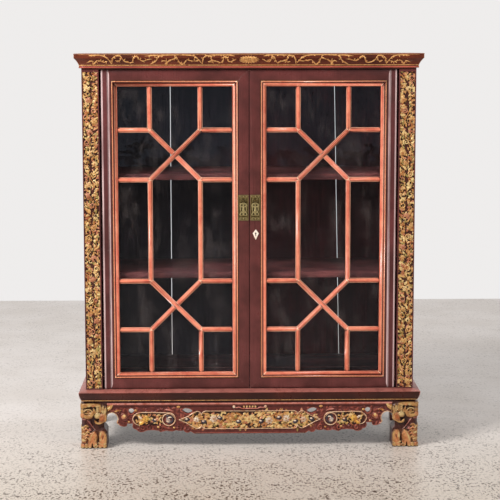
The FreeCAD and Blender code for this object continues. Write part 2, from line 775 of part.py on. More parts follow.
def make_back():
    """Four upright back boards with shrinkage gaps, nailed to two rails."""
    low, high = "plinth_top", "top_under"
    half = "back_gap / 2"
    edges = [
        ("-rear_inner", "-rear_inner"),
        (f"joint_left - {half}", f"joint_left - {half}"),
        (f"joint_left + {half}", f"joint_left + {half}"),
        ("-middle_gap / 2", "-middle_gap / 2"),
        ("middle_gap / 2", "middle_gap / 2"),
        (f"joint_right_low - {half}", f"joint_right_high - {half}"),
        (f"joint_right_low + {half}", f"joint_right_high + {half}"),
        ("rear_inner", "rear_inner"),
    ]
    for number in range(4):
        left, right = edges[2 * number], edges[2 * number + 1]
        corners = [(left[0], low), (right[0], low), (right[1], high), (left[1], high)]
        body = new_body(f"back_board_{number + 1}_plank")
        pad(body, "XZ", ("boards_front", "back"), corners)
        part(body, f"back_board_{number + 1}")
    deep = ("boards_front - back_rail_thick", "boards_front")
    across = ("-rear_inner", "rear_inner")
    rails = [
        block("BackRailLow", across, deep, (low, f"{low} + back_rail_tall")),
        block("BackRailHigh", across, deep, (f"{high} - back_rail_tall", high)),
    ]
    part(group("BackRails", rails), "back_rails")


# ---------------------------------------------------------------------------------------------
# Feet and aprons
# ---------------------------------------------------------------------------------------------
def foot_silhouette(outer, way):
    """A front foot seen square on: knee, neck and paw.

    outer is the formula of its fullest outer edge; way is "-" where the foot lies towards
    smaller values from there and "+" where it lies towards larger ones.
    """

    def at(inset):
        return f"{outer} {way} ({inset})"

    bulge = 1 if way == "-" else -1
    return [
        (at("foot_wide"), "0"),
        (at("paw_in"), "0", "paw_bow", bulge),
        (at("paw_in"), "paw_tall", "neck_bow", -bulge),
        (at("neck_in"), "neck_top", "knee_bow", bulge),
        (at("paw_in"), "foot_tall"),
        (at("foot_wide"), "foot_tall"),
        (at("foot_wide"), "neck_top", "inner_bow", -bulge),
        (at("foot_wide"), "paw_tall"),
    ]


def foot_plan():
    """A front foot from above, with a rounded front corner."""
    rear = "foot_face + foot_wide"
    return [
        ("foot_inner + foot_arris", "foot_face"),
        ("foot_outer - foot_corner", "foot_face", "foot_corner", 1),
        ("foot_outer", "foot_face + foot_corner"),
        ("foot_outer", f"{rear} - foot_arris", "foot_arris", 1),
        ("foot_outer - foot_arris", rear),
        ("foot_inner", rear),
        ("foot_inner", "foot_face + foot_arris", "foot_arris", 1),
    ]


def toe_grooves(side, sign):
    """Upright grooves between a front foot's toes, two in each face."""
    tools = []
    proud = "(toe_groove - toe_sink)"
    for number, share in enumerate(("-0.5", "0.5")):
        shift = f"(foot_wide / 2 + {share} * toe_spread)"
        in_front = (f"{sign} * (foot_outer - {shift})", f"foot_face - {proud}")
        beside = (f"{sign} * (foot_outer + {proud})", f"foot_face + {shift}")
        for face, (across, deep) in (("front", in_front), ("side", beside)):
            name = f"{side}_toe_{face}_{number}"
            tools.append(rod(name, "toe_groove", "toe_tall + over_cut", across, deep, "-over_cut"))
    return tools


def make_front_foot(side, sign):
    """A carved front foot: two crossed silhouettes and a plan in common, less its toe grooves."""
    front_view = new_body(f"{side}_foot_front_view")
    silhouette = flipped(foot_silhouette("foot_outer", "-"), sign)
    pad(front_view, "XZ", ("foot_face", "foot_face + foot_wide"), silhouette)
    side_view = new_body(f"{side}_foot_side_view")
    reach = ("foot_inner", "foot_outer") if sign > 0 else ("-foot_outer", "-foot_inner")
    pad(side_view, "YZ", reach, foot_silhouette("foot_face", "+"))
    plan = new_body(f"{side}_foot_plan")
    pad(plan, "XY", ("0", "foot_tall"), flipped(foot_plan(), sign))
    form = doc.addObject("Part::MultiCommon", f"{side}_foot_form")
    form.Shapes = [front_view, side_view, plan]
    part(cut(f"{side}_front_foot", form, toe_grooves(side, sign)), f"front_{side}_foot")


def make_rear_foot(side, sign):
    """A plain rear foot, tapered on its two hidden sides."""
    body = new_body(f"{side}_back_foot")
    shape = [
        ("case_half", "0"),
        ("case_half", "foot_tall"),
        ("rear_inner", "foot_tall"),
        ("rear_inner + rear_foot_taper", "0"),
    ]
    pad(body, "XZ", ("rear_front", "back"), flipped(shape, sign))
    part(body, f"rear_{side}_foot")


def make_front_apron():
    """The pierced front apron between the feet, its foot cut in scrolls and steps."""

    def out(distance):
        return f"foot_inner - {distance}"

    def down(drop):
        return f"foot_tall - {drop}"

    body = new_body("front_apron_board")
    half = drawn_points(APRON, out, down) + [("foot_inner", "foot_tall")]
    face = "case_front - apron_out"
    pad(body, "XZ", (face, f"{face} + apron_thick"), both_sides(half, "0"))
    through = (f"{face} - over_cut", f"{face} + apron_thick + over_cut")
    for rows in (LONG_HOLE, SMALL_HOLE):
        hole = drawn_points(rows, out, down)
        pocket(body, "XZ", through, hole, flipped(hole, -1))
    part(body, "apron_front")


def make_side_aprons():
    """The plain side aprons, with rounded ends at their foot."""
    front = "foot_face + foot_wide"
    foot = "foot_tall - side_apron_drop"
    bow = "side_apron_bow"
    shape = [
        (front, foot, bow, -1),
        (f"{front} + {bow}", f"{foot} + {bow}"),
        (f"rear_front - {bow}", f"{foot} + {bow}", bow, -1),
        ("rear_front", foot),
        ("rear_front", "foot_tall"),
        (front, "foot_tall"),
    ]
    near, far = "case_half + apron_out - apron_thick", "case_half + apron_out"
    for side, sign in SIDES:
        body = new_body(f"{side}_apron_board")
        pad(body, "YZ", (near, far) if sign > 0 else (f"-({far})", f"-({near})"), shape)
        part(body, f"apron_{side}")


def make_stand():
    """Feet and aprons."""
    for side, sign in SIDES:
        make_front_foot(side, sign)
        make_rear_foot(side, sign)
    make_front_apron()
    make_side_aprons()


# ---------------------------------------------------------------------------------------------
# The doors
# ---------------------------------------------------------------------------------------------
def stile_outline(outer, flat, sight):
    """A stile seen from the front, from its outer edge to the glass, mitred to the rails."""
    return [
        (outer, "door_foot"),
        (outer, "door_head"),
        (flat, "flat_head"),
        (sight, "sight_head"),
        (sight, "sight_foot"),
        (flat, "flat_foot"),
    ]


def rail_outline(edge, flat, sight):
    """A rail seen from the front, from its outer edge to the glass, mitred to the stiles."""
    return [
        ("door_in", edge),
        ("flat_in", flat),
        ("sight_in", sight),
        ("sight_out", sight),
        ("flat_out", flat),
        ("frame_out", edge),
    ]


def frame_member(name, sign, shape, seat, rebate):
    """A mitred frame member, rebated in front for the moulding and behind for the glass."""
    body = new_body(name + "_member")
    pad(body, "XZ", ("door_front", "door_back"), flipped(shape, sign))
    pocket(body, "XZ", ("door_front - over_cut", "web_front"), flipped(seat, sign))
    pocket(body, "XZ", ("glass_front", "door_back + over_cut"), flipped(rebate, sign))
    return body


def make_frame(side, sign):
    """The four members of a door's frame."""
    tall = ("door_foot - over_cut", "door_head + over_cut")
    wide = ("door_in - over_cut", "frame_out + over_cut")
    members = {
        "outer_stile": (
            stile_outline("frame_out", "flat_out", "sight_out"),
            rectangle(("sight_out - over_cut", "flat_out"), tall),
            rectangle(("sight_out - over_cut", "sight_out + glass_rebate"), tall),
        ),
        "meeting_stile": (
            stile_outline("door_in", "flat_in", "sight_in"),
            rectangle(("flat_in", "sight_in + over_cut"), tall),
            rectangle(("sight_in - glass_rebate", "sight_in + over_cut"), tall),
        ),
        "top_rail": (
            rail_outline("door_head", "flat_head", "sight_head"),
            rectangle(wide, ("sight_head - over_cut", "flat_head")),
            rectangle(wide, ("sight_head - over_cut", "sight_head + glass_rebate")),
        ),
        "bottom_rail": (
            rail_outline("door_foot", "flat_foot", "sight_foot"),
            rectangle(wide, ("flat_foot", "sight_foot + over_cut")),
            rectangle(wide, ("sight_foot - glass_rebate", "sight_foot + over_cut")),
        ),
    }
    for piece, (shape, seat, rebate) in members.items():
        name = f"{side}_{piece}"
        body = frame_member(name, sign, shape, seat, rebate)
        if name == "right_meeting_stile":
            keyhole(body, ("door_front - over_cut", "door_back + over_cut"))
        part(body, name)


def keyhole(body, deep):
    """A keyhole through a body: a round hole over a slot."""
    slot = rectangle(
        ("key_across - key_slot / 2", "key_across + key_slot / 2"),
        ("lock_level - key_slot_long", "lock_level"),
    )
    pocket(body, "XZ", deep, rings=[("key_across", "lock_level", "key_radius")])
    pocket(body, "XZ", deep, slot)


def make_pivot_stile(side, sign):
    """The round-cornered strip that carries a door, with its two pivot pins."""
    body = new_body(f"{side}_pivot_strip")
    inner, outer = "frame_out", "door_out"
    front, rear, soft = "door_front", "door_back", "pivot_round"
    corners = [
        (inner, f"{front} + {soft}", soft, 1),
        (f"{inner} + {soft}", front),
        (f"{outer} - {soft}", front, soft, 1),
        (outer, f"{front} + {soft}"),
        (outer, f"{rear} - {soft}", soft, 1),
        (f"{outer} - {soft}", rear),
        (inner, rear),
    ]
    pad(body, "XY", ("door_foot", "door_head"), flipped(corners, sign))
    pins = []
    for end, foot in (("lower", "door_foot - pin_long"), ("upper", "door_head")):
        pins.append(
            rod(
                f"{side}_{end}_pin",
                "pin_radius",
                "pin_long",
                f"{sign} * pivot_across",
                "pivot_deep",
                foot,
            )
        )
    part(join(f"{side}_pivot_stile_solid", [body] + pins), f"{side}_pivot_stile")


def mitre_waste(corner, inward, width, upright):
    """What a mitre takes off an upright or level length at a corner of its rectangle."""
    near = [f"({place}) + ({-way}) * over_cut" for place, way in zip(corner, inward)]
    far = [f"({place}) + ({way}) * ({width} + over_cut)" for place, way in zip(corner, inward)]
    third = (far[0], near[1]) if upright else (near[0], far[1])
    return [tuple(near), tuple(far), third]


def mitred_lengths(name, sign, across, up, width, deep, section):
    """Four mitred lengths round a rectangle, as one sub-part of separate solids.

    section gives the lengths' profile, as (distance in from the rectangle, place along Y).
    """
    lengths = []
    for upright in (True, False):
        edges, run = (across, up) if upright else (up, across)
        for edge, way in ((edges[0], 1), (edges[1], -1)):
            body = new_body(f"{name}_{'upright' if upright else 'level'}_{way + 1}")
            places = [(f"({edge}) + ({way}) * ({inset})", along) for inset, along in section]
            if upright:
                pad(body, "XY", run, flipped(places, sign))
            else:
                span = run if sign > 0 else (f"-({run[1]})", f"-({run[0]})")
                pad(body, "YZ", span, [(along, level) for level, along in places])
            waste = []
            for end, inward in ((run[0], 1), (run[1], -1)):
                corner, ways = ((edge, end), (way, inward)) if upright else ((end, edge), (inward, way))
                waste.append(flipped(mitre_waste(corner, ways, width, upright), sign))
            pocket(body, "XZ", (f"{deep[0]} - over_cut", f"{deep[1]} + over_cut"), *waste)
            lengths.append(body)
    return part(group(f"{name}_lengths", lengths), name)


def make_moulding(side, sign):
    """The two-step moulding round a door's glass, in four mitred lengths."""
    face = "door_front - mould_proud"
    soft = "mould_soft"
    band = f"{face} + mould_fall"
    section = [
        ("0", "web_front"),
        ("0", f"{face} + {soft}"),
        (soft, face),
        (f"mould_bead - {soft}", face),
        ("mould_bead", f"{face} + {soft}"),
        ("mould_bead", f"{face} + mould_quirk_deep"),
        ("mould_bead + mould_quirk", f"{face} + mould_quirk_deep"),
        (f"mould_bead + mould_quirk + {soft}", band),
        (f"mould_wide - 3 * {soft}", band),
        ("mould_wide", f"{band} + 3 * {soft}"),
        ("mould_wide", "web_front"),
    ]
    across, up = ("flat_in", "flat_out"), ("flat_foot", "flat_head")
    mitred_lengths(f"{side}_moulding", sign, across, up, "mould_wide", (face, "web_front"), section)


def make_glazing(side, sign):
    """A pane and the beads that hold it in from behind."""
    reach = "(glass_rebate - glass_play)"
    pane = mirrored_block(
        f"{side}_pane",
        sign,
        f"sight_in - {reach}",
        f"sight_out + {reach}",
        ("glass_front", "glass_back"),
        (f"sight_foot - {reach}", f"sight_head + {reach}"),
    )
    part(pane, f"{side}_glass")
    section = [
        ("0", "glass_back"),
        ("glass_rebate", "glass_back"),
        ("glass_rebate", "glass_back + bead_lip"),
        ("glass_rebate - bead_slope", "door_back"),
        ("0", "door_back"),
    ]
    across = ("sight_in - glass_rebate", "sight_out + glass_rebate")
    up = ("sight_foot - glass_rebate", "sight_head + glass_rebate")
    deep = ("glass_back", "door_back")
    mitred_lengths(f"{side}_glass_beads", sign, across, up, "glass_rebate", deep, section)


def bar_section():
    """Half of a lattice bar's section, from its back edge to its middle: (across, place along Y)."""
    back = amount("glass_front")
    face = back - amount("bar_deep")
    half, bevel = amount("bar_wide") / 2, amount("bar_bevel")
    ledge = face + amount("bar_step")
    rise = half - amount("bar_edge")
    return [(half, back), (half, ledge), (rise, ledge), (rise, face + bevel), (rise - bevel, face)]


def lattice_bar(start, end, cuts):
    """A lattice bar from start to end, with a raised middle and its ends cut to planes.

    Each cut is (point, normal): what lies on the normal's side of the point is taken away.
    """
    way = (end - start).normalize()
    across = way.cross(Vector(0, 1, 0)).normalize()
    spare = way * amount("bar_wide")
    half = bar_section()
    section = half + [(-u, y) for u, y in reversed(half)]
    wire = [start - spare + across * u + Vector(0, y, 0) for u, y in section]
    bar = Part.Face(Part.makePolygon(wire + wire[:1])).extrude(end - start + spare * 2)
    for point, normal in cuts:
        bar = bar.cut(half_space(point, normal))
    return bar.Solids[0]


def half_space(point, normal):
    """A block that fills one side of an upright plane through a point, round a bar's end."""
    reach = 4 * amount("bar_wide")
    deep = 2 * amount("bar_deep")
    box = Part.makeBox(reach, 2 * deep, 2 * reach, Vector(0, -deep, -reach))
    turn = Rotation(Vector(1, 0, 0), normal)
    box.Placement = Placement(Vector(point.x, amount("glass_front"), point.z), turn)
    return box


def meeting_cut(node, one, other):
    """The mitre of a bar that runs from a node towards one, against a bar towards other."""
    first = (one - node).normalize()
    second = (other - node).normalize()
    return node, (second - first).normalize()


def lattice_spots(sign):
    """Where the bars of a door's lattice meet each other and the moulding, by kind, hand and up."""
    middle, level = sign * amount("sight_across"), amount("sight_level")
    spread = amount("bar_spread / 2")
    inner, outer = amount("bar_inner"), amount("bar_outer")
    rim_across = amount("(sight_out - sight_in) / 2")
    rim_up = amount("(sight_head - sight_foot) / 2")
    kinds = {
        "inner": (spread, inner),
        "outer": (spread, outer),
        "inner_rim": (rim_across, inner),
        "outer_rim": (rim_across, outer),
        "end_rim": (spread, rim_up),
    }
    spots = {}
    for up in (-1, 1):
        spots["centre", 0, up] = Vector(middle, 0, level + up * (inner + outer) / 2)
        for hand in (-1, 1):
            for kind, (across, rise) in kinds.items():
                spots[kind, hand, up] = Vector(middle + hand * across, 0, level + up * rise)
    return spots


def lattice_pairs():
    """The lattice's bars, as pairs of the spots they run between.

    Of the two diagonals that cross above and below, one is whole and the other butts against it.
    """
    pairs = []
    for hand in (-1, 1):
        pairs.append((("inner", hand, -1), ("inner", hand, 1)))
        for up in (-1, 1):
            pairs.append((("inner", hand, up), ("inner_rim", hand, up)))
            pairs.append((("outer", hand, up), ("outer_rim", hand, up)))
            pairs.append((("outer", hand, up), ("end_rim", hand, up)))
    for up in (-1, 1):
        pairs.append((("inner", -1, up), ("outer", 1, up)))
        pairs.append((("inner", 1, up), ("centre", 0, up)))
        pairs.append((("outer", -1, up), ("centre", 0, up)))
    return pairs


def end_cuts(end, start, spots, pairs):
    """What a bar's end is cut to: the moulding, the bar it butts against, or mitres at its node."""
    kind, hand, up = end
    place, source = spots[end], spots[start]
    if kind == "end_rim":
        return [(place, Vector(0, 0, up))]
    if kind.endswith("rim"):
        return [(place, Vector(hand, 0, 0))]
    if kind == "centre":
        whole = (spots["outer", 1, up] - spots["inner", -1, up]).normalize()
        square = Vector(whole.z, 0, -whole.x)
        way = square if square.dot(source - place) > 0 else square * -1
        return [(place + way * amount("bar_wide / 2"), way * -1)]
    others = [pair[1 - pair.index(end)] for pair in pairs if end in pair]
    return [meeting_cut(place, source, spots[other]) for other in others if other != start]


def make_lattice(side, sign):
    """A door's lattice: uprights, short rungs and two diagonal crossings."""
    spots, pairs = lattice_spots(sign), lattice_pairs()
    bars = []
    for one, other in pairs:
        cuts = end_cuts(one, other, spots, pairs) + end_cuts(other, one, spots, pairs)
        bars.append(lattice_bar(spots[one], spots[other], cuts))
    item = doc.addObject("Part::Feature", f"{side}_lattice_bars")
    item.Shape = Part.makeCompound(bars)
    part(item, f"{side}_lattice")


def make_pull(side, sign):
    """A pull's back plate, with the ears and the pin that its pendant hangs from."""
    middle = f"{sign} * pull_across"
    half = "pull_wide / 2"
    plate = block(
        f"{side}_pull_back",
        (f"{middle} - {half}", f"{middle} + {half}"),
        ("pull_front", "door_front"),
        ("pull_level - pull_tall / 2", "pull_level + pull_tall / 2"),
    )
    reach = "pull_knuckle / 2 + pull_play + pull_ear_wide"
    along = Vector(1, 0, 0)
    pieces = [plate]
    for hand in (-1, 1):
        start = f"{middle} - ({reach})" if hand < 0 else f"{middle} + ({reach}) - pull_ear_wide"
        pieces.append(
            rod(f"{side}_ear_{hand + 1}", "pull_ear", "pull_ear_wide", start, "pin_deep", "pin_level", along)
        )
        pieces.append(
            block(
                f"{side}_ear_root_{hand + 1}",
                (start, f"{start} + pull_ear_wide"),
                ("pin_deep", "pull_front"),
                ("pin_level - pull_ear", "pin_level + pull_ear"),
            )
        )
    pin = rod(
        f"{side}_pull_pin",
        "pull_pin",
        f"2 * ({reach})",
        f"{middle} - ({reach})",
        "pin_deep",
        "pin_level",
        along,
    )
    part(join(f"{side}_pull_plate_solid", pieces + [pin]), f"{side}_pull_plate")


def make_pendant(side, sign):
    """A flat pendant on its knuckle: an arch with two eyes, slots beside a gourd, and a base."""
    middle = f"{sign} * pull_across"
    back = "pull_front - pull_play"

    def down(drop):
        return f"pin_level - {drop}"

    leaf = new_body(f"{side}_pendant_leaf")
    half = drawn_points(PENDANT, str, down)
    half += [("pull_knuckle / 2", down("pendant_neck")), ("pull_knuckle / 2", "pin_level")]
    pad(leaf, "XZ", (f"{back} - pendant_thick", back), both_sides(half, middle))
    slot = [
        ("slot_in", down("slot_foot")),
        ("slot_out", down("slot_foot")),
        ("slot_out", down("slot_top")),
        ("slot_in", down("slot_top"), "gourd_top_bow", -1),
        ("slot_in", down("gourd_waist"), "gourd_belly_bow", -1),
    ]
    hole = [
        ("hole_in", down("hole_foot")),
        ("hole_out", down("hole_foot")),
        ("hole_out - hole_lean", down("hole_top")),
        ("hole_in", down("hole_top")),
    ]
    openings, eyes = [], []
    for hand in (-1, 1):
        eyes.append((f"{middle} + {hand} * eye_across", down("eye_drop"), "eye_radius"))
        for corners in (slot, hole):
            turned = flipped(corners, hand)
            openings.append([(f"{middle} + ({corner[0]})",) + corner[1:] for corner in turned])
    through = (f"{back} - pendant_thick - over_cut", f"{back} + over_cut")
    pocket(leaf, "XZ", through, *openings, rings=eyes)
    along = Vector(1, 0, 0)
    start = f"{middle} - pull_knuckle / 2"
    knuckle = rod(f"{side}_knuckle", "pull_ear", "pull_knuckle", start, "pin_deep", "pin_level", along)
    bore = rod(
        f"{side}_knuckle_bore",
        "pull_pin + pin_clear",
        "pull_knuckle + 2 * over_cut",
        f"{start} - over_cut",
        "pin_deep",
        "pin_level",
        along,
    )
    whole = join(f"{side}_pendant_solid", [leaf, knuckle])
    part(cut(f"{side}_pendant", whole, [bore]), f"{side}_pull_pendant")


def make_lock():
    """Escutcheon, lock case and bolt on the right door, keeper on the left one."""
    plate = new_body("EscutcheonPlate")
    half = "plate_wide / 2"
    corners = [
        ("key_across", "lock_level - plate_down"),
        (f"key_across + {half}", "lock_level"),
        ("key_across", "lock_level + plate_up"),
        (f"key_across - {half}", "lock_level"),
    ]
    pad(plate, "XZ", ("door_front - plate_thick", "door_front"), corners)
    keyhole(plate, ("door_front - plate_thick - over_cut", "door_front + over_cut"))
    part(plate, "escutcheon")

    bolt_back = "bolt_front + bolt_thick"
    bolt_levels = ("lock_level - bolt_tall / 2", "lock_level + bolt_tall / 2")
    start = "lock_in + bolt_play"
    case = block(
        "LockBlank",
        ("lock_in", "lock_in + lock_wide"),
        ("door_back", "door_back + lock_deep"),
        ("lock_level - lock_tall / 2", "lock_level + lock_tall / 2"),
    )
    channel = block(
        "LockChannel",
        ("lock_in - over_cut", f"{start} + bolt_long + bolt_throw"),
        ("bolt_front - bolt_play", f"{bolt_back} + bolt_play"),
        (f"{bolt_levels[0]} - bolt_play", f"{bolt_levels[1]} + bolt_play"),
    )
    part(cut("LockCase", case, [channel]), "lock_case")
    bolt = block("LockBolt", (start, f"{start} + bolt_long"), ("bolt_front", bolt_back), bolt_levels)
    part(bolt, "lock_bolt")
    keeper = block(
        "KeeperBlank",
        ("-lock_in - keeper_wide", "-lock_in"),
        ("door_back", "door_back + lock_deep"),
        ("lock_level - keeper_tall / 2", "lock_level + keeper_tall / 2"),
    )
    mouth = block(
        "KeeperMouth",
        ("-lock_in - keeper_wide + keeper_wall", "-lock_in + over_cut"),
        ("bolt_front - 2 * bolt_play", f"{bolt_back} + 2 * bolt_play"),
        (f"{bolt_levels[0]} - 2 * bolt_play", f"{bolt_levels[1]} + 2 * bolt_play"),
    )
    part(cut("Keeper", keeper, [mouth]), "lock_keeper")


def make_doors():
    """Both doors with their furniture."""
    for side, sign in SIDES:
        make_pivot_stile(side, sign)
        make_frame(side, sign)
        make_moulding(side, sign)
        make_lattice(side, sign)
        make_glazing(side, sign)
        make_pull(side, sign)
        make_pendant(side, sign)
    make_lock()


def check(items):
    """Stops if an object failed or a sub-part has no sound shape."""
    for item in doc.Objects:
        if "Invalid" in item.State or "Error" in item.State:
            raise RuntimeError(f"{item.Name} failed: {item.State}")
    for item in items:
        if item.Shape.isNull() or not item.Shape.isValid() or not item.Shape.Solids:
            raise RuntimeError(f"{item.Label} has no sound shape")


def main():
    """Builds every sub-part and writes it to parts/."""
    make_crown()
    make_plinth()
    make_posts()
    make_sides()
    make_shelves()
    make_back()
    make_stand()
    make_doors()
    doc.recompute()
    check(parts)
    os.makedirs("parts", exist_ok=True)
    for item in parts:
        item.Shape.exportStep(f"parts/{item.Label}.step")
    print(f"{len(parts)} sub-parts")


main()
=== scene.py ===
"""Looks of a carved and lacquered Chinese book cabinet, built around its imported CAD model."""

import json
import math

import bmesh
import bpy
import numpy as np
from mathutils import Matrix, Vector, bvhtree, geometry, kdtree


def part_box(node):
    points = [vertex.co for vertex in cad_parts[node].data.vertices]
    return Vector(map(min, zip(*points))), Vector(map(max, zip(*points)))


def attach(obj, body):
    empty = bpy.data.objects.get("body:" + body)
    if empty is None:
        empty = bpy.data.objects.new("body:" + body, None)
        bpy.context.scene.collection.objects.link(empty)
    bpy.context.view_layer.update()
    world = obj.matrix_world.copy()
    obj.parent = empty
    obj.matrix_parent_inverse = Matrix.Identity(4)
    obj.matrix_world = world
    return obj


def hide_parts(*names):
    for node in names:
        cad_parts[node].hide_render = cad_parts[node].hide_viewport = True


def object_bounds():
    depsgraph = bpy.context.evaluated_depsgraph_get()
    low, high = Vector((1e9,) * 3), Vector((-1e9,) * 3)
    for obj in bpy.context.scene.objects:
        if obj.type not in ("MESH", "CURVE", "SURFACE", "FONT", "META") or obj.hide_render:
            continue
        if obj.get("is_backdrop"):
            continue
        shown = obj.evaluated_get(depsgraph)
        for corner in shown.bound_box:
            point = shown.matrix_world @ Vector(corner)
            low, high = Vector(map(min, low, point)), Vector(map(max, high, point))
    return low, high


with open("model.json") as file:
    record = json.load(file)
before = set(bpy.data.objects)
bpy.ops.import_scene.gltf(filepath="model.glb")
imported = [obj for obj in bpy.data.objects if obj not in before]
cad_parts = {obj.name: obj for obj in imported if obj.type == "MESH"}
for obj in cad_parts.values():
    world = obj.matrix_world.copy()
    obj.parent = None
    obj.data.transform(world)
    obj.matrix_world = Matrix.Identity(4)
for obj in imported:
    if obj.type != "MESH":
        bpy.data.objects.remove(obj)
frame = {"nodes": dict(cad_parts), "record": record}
CAD_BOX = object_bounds()
NODES = frame["nodes"]
MM = 0.001
SIDES = (("left", -1), ("right", 1))


def srgb(red, green, blue):
    """A linear colour from the 0 to 255 numbers that a screen shows."""
    shown = np.array([red, green, blue]) / 255
    linear = np.where(shown <= 0.04045, shown / 12.92, ((shown + 0.055) / 1.055) ** 2.4)
    return (*linear.tolist(), 1.0)


# ---------------------------------------------------------------- finishes


class Nodes:
    """Short names for a tree of shader nodes."""

    def __init__(self, tree):
        self.tree = tree

    def feed(self, socket, value):
        if isinstance(value, bpy.types.NodeSocket):
            self.tree.links.new(value, socket)
        else:
            socket.default_value = value

    def add(self, kind, inputs=(), **settings):
        node = self.tree.nodes.new(kind)
        for name, value in settings.items():
            setattr(node, name, value)
        for key, value in dict(inputs).items():
            self.feed(node.inputs[key], value)
        return node

    def axis(self, vector, name):
        return self.add("ShaderNodeSeparateXYZ", {0: vector}).outputs[name]

    def calc(self, operation, first, second=0.0):
        return self.add("ShaderNodeMath", {0: first, 1: second}, operation=operation).outputs[0]

    def times(self, first, second):
        return self.calc("MULTIPLY", first, second)

    def span(self, value, low, high, start=0.0, end=1.0, ease="SMOOTHSTEP"):
        """Goes from start to end while value goes from low to high."""
        values = {"Value": value, "From Min": low, "From Max": high, "To Min": start, "To Max": end}
        return self.add("ShaderNodeMapRange", values, interpolation_type=ease).outputs[0]


class Finish(Nodes):
    """A material round one Principled shader, with its colour laid on in coats."""

    def __init__(self, name, tone=(255, 255, 255), **sockets):
        self.material = bpy.data.materials.new(name)
        self.material.use_nodes = True
        super().__init__(self.material.node_tree)
        self.shader = self.tree.nodes["Principled BSDF"]
        self.place = self.add("ShaderNodeTexCoord").outputs["Object"]
        self.colour = srgb(*tone)
        for socket, value in sockets.items():
            self.set(socket.replace("_", " ").title().replace("Ior", "IOR"), value)

    def set(self, socket, value):
        self.feed(self.shader.inputs[socket], value)

    def at(self, stretch):
        """Object coordinates, in metres, stretched along each axis."""
        return self.add("ShaderNodeMapping", {"Vector": self.place, "Scale": stretch}).outputs[0]

    def noise(self, scale, detail, rough, stretch=(1, 1, 1), twist=0.0):
        values = {"Vector": self.at(stretch), "Scale": scale, "Detail": detail}
        values |= {"Roughness": rough, "Distortion": twist}
        return self.add("ShaderNodeTexNoise", values).outputs["Fac"]

    def patches(self, scale, detail, rough, *ends, stretch=(1, 1, 1)):
        """Noise with its contrast set by span."""
        return self.span(self.noise(scale, detail, rough, stretch), *ends)

    def mix(self, share, first, second, way="MIX"):
        values = {0: share, 6: first, 7: second}
        return self.add("ShaderNodeMix", values, data_type="RGBA", blend_type=way).outputs[2]

    def coat(self, share, tone, way="MIX"):
        """Lays a tone over the colour so far, where share is above 0."""
        self.colour = self.mix(share, self.colour, srgb(*tone), way)

    def hollows(self, reach, **settings):
        """1 in the open and towards 0 in corners narrower than reach."""
        values = {"Distance": reach}
        return self.add("ShaderNodeAmbientOcclusion", values, samples=8, **settings).outputs["AO"]

    def edges(self, reach):
        """1 on flat ground and towards 0 at outer edges."""
        return self.hollows(reach, inside=True, only_local=True)

    def attribute(self, name, output):
        return self.add("ShaderNodeAttribute", attribute_name=name).outputs[output]

    def done(self, height, depth, strength=1.0):
        """The material, with its colour and with a bump as deep as depth in metres."""
        self.set("Base Color", self.colour)
        values = {"Height": height, "Distance": depth, "Strength": strength}
        self.set("Normal", self.add("ShaderNodeBump", values).outputs[0])
        return self.material


def lacquer_finish(name, tone, deep, worn_and_highlight_tone, wear=0.5, dust_and_top_light=0.2, highlight_bands=()):
    """Old brushed lacquer: cloudy and streaked along the grain, pale at its edges from wear and a
    painted highlight, pale on upward faces from dusty deposit and a painted top light, and darkened
    in its corners by painted shade.
    """
    made = Finish(name, tone, coat_weight=0.08, coat_roughness=0.12, specular_ior_level=0.28)
    clouds = made.noise(9, 5, 0.6)
    streaks = made.noise(260, 3, 0.6, stretch=(1, 1, 0.03))
    made.coat(made.span(clouds, 0.3, 0.7), deep)
    made.coat(made.span(streaks, 0.45, 0.75, 0, 0.35), deep)
    patches = made.patches(38, 6, 0.7, 0.3, 0.58)
    # Upward faces are coated pale: partly a dusty deposit on the ledges, partly a painted top
    # light.
    upward = made.axis(made.add("ShaderNodeNewGeometry").outputs["True Normal"], "Z")
    ledge_dust_and_top_light = made.times(made.span(upward, 0.3, 0.8), made.span(patches, 0, 1, dust_and_top_light * 0.6, dust_and_top_light))
    # Edges are coated pale: partly wear, partly a painted highlight; the same pale tone also serves
    # the upward faces, the arrises and the chips.
    rubbed_and_highlit = made.times(made.span(made.edges(0.0022), 0.66, 0.42), wear)
    made.coat(made.calc("MAXIMUM", made.times(rubbed_and_highlit, patches), ledge_dust_and_top_light), worn_and_highlight_tone)
    # Painted highlights: pale strips along given arrises, each a middle across x and a half width.
    across = made.calc("ABSOLUTE", made.axis(made.place, "X"))
    for middle, half in highlight_bands:
        away = made.calc("ABSOLUTE", made.calc("SUBTRACT", across, middle))
        fade = made.patches(14, 4, 0.6, 0.3, 0.6, 0.3, 0.9, stretch=(1, 1, 0.25))
        made.coat(made.times(made.span(away, half, half * 0.45), fade), worn_and_highlight_tone)
    made.coat(made.patches(150, 2, 0.5, 0.765, 0.78, 0, 0.3), worn_and_highlight_tone)
    # Painted shade: darkens corners and grooves narrower than 9 mm.
    made.coat(made.span(made.hollows(0.009), 0.3, 0.9, 0.7, 0), (20, 9, 9))
    made.set("Roughness", made.span(clouds, 0.3, 0.7, 0.24, 0.44))
    values = {"Vector": made.at((1, 1, 0.6)), "Scale": 330}
    cells = made.add("ShaderNodeTexVoronoi", values, feature="DISTANCE_TO_EDGE").outputs["Distance"]
    ripple = made.calc("ADD", made.times(streaks, 0.6), made.span(cells, 0, 0.05))
    return made.done(ripple, 0.0001, 0.6)


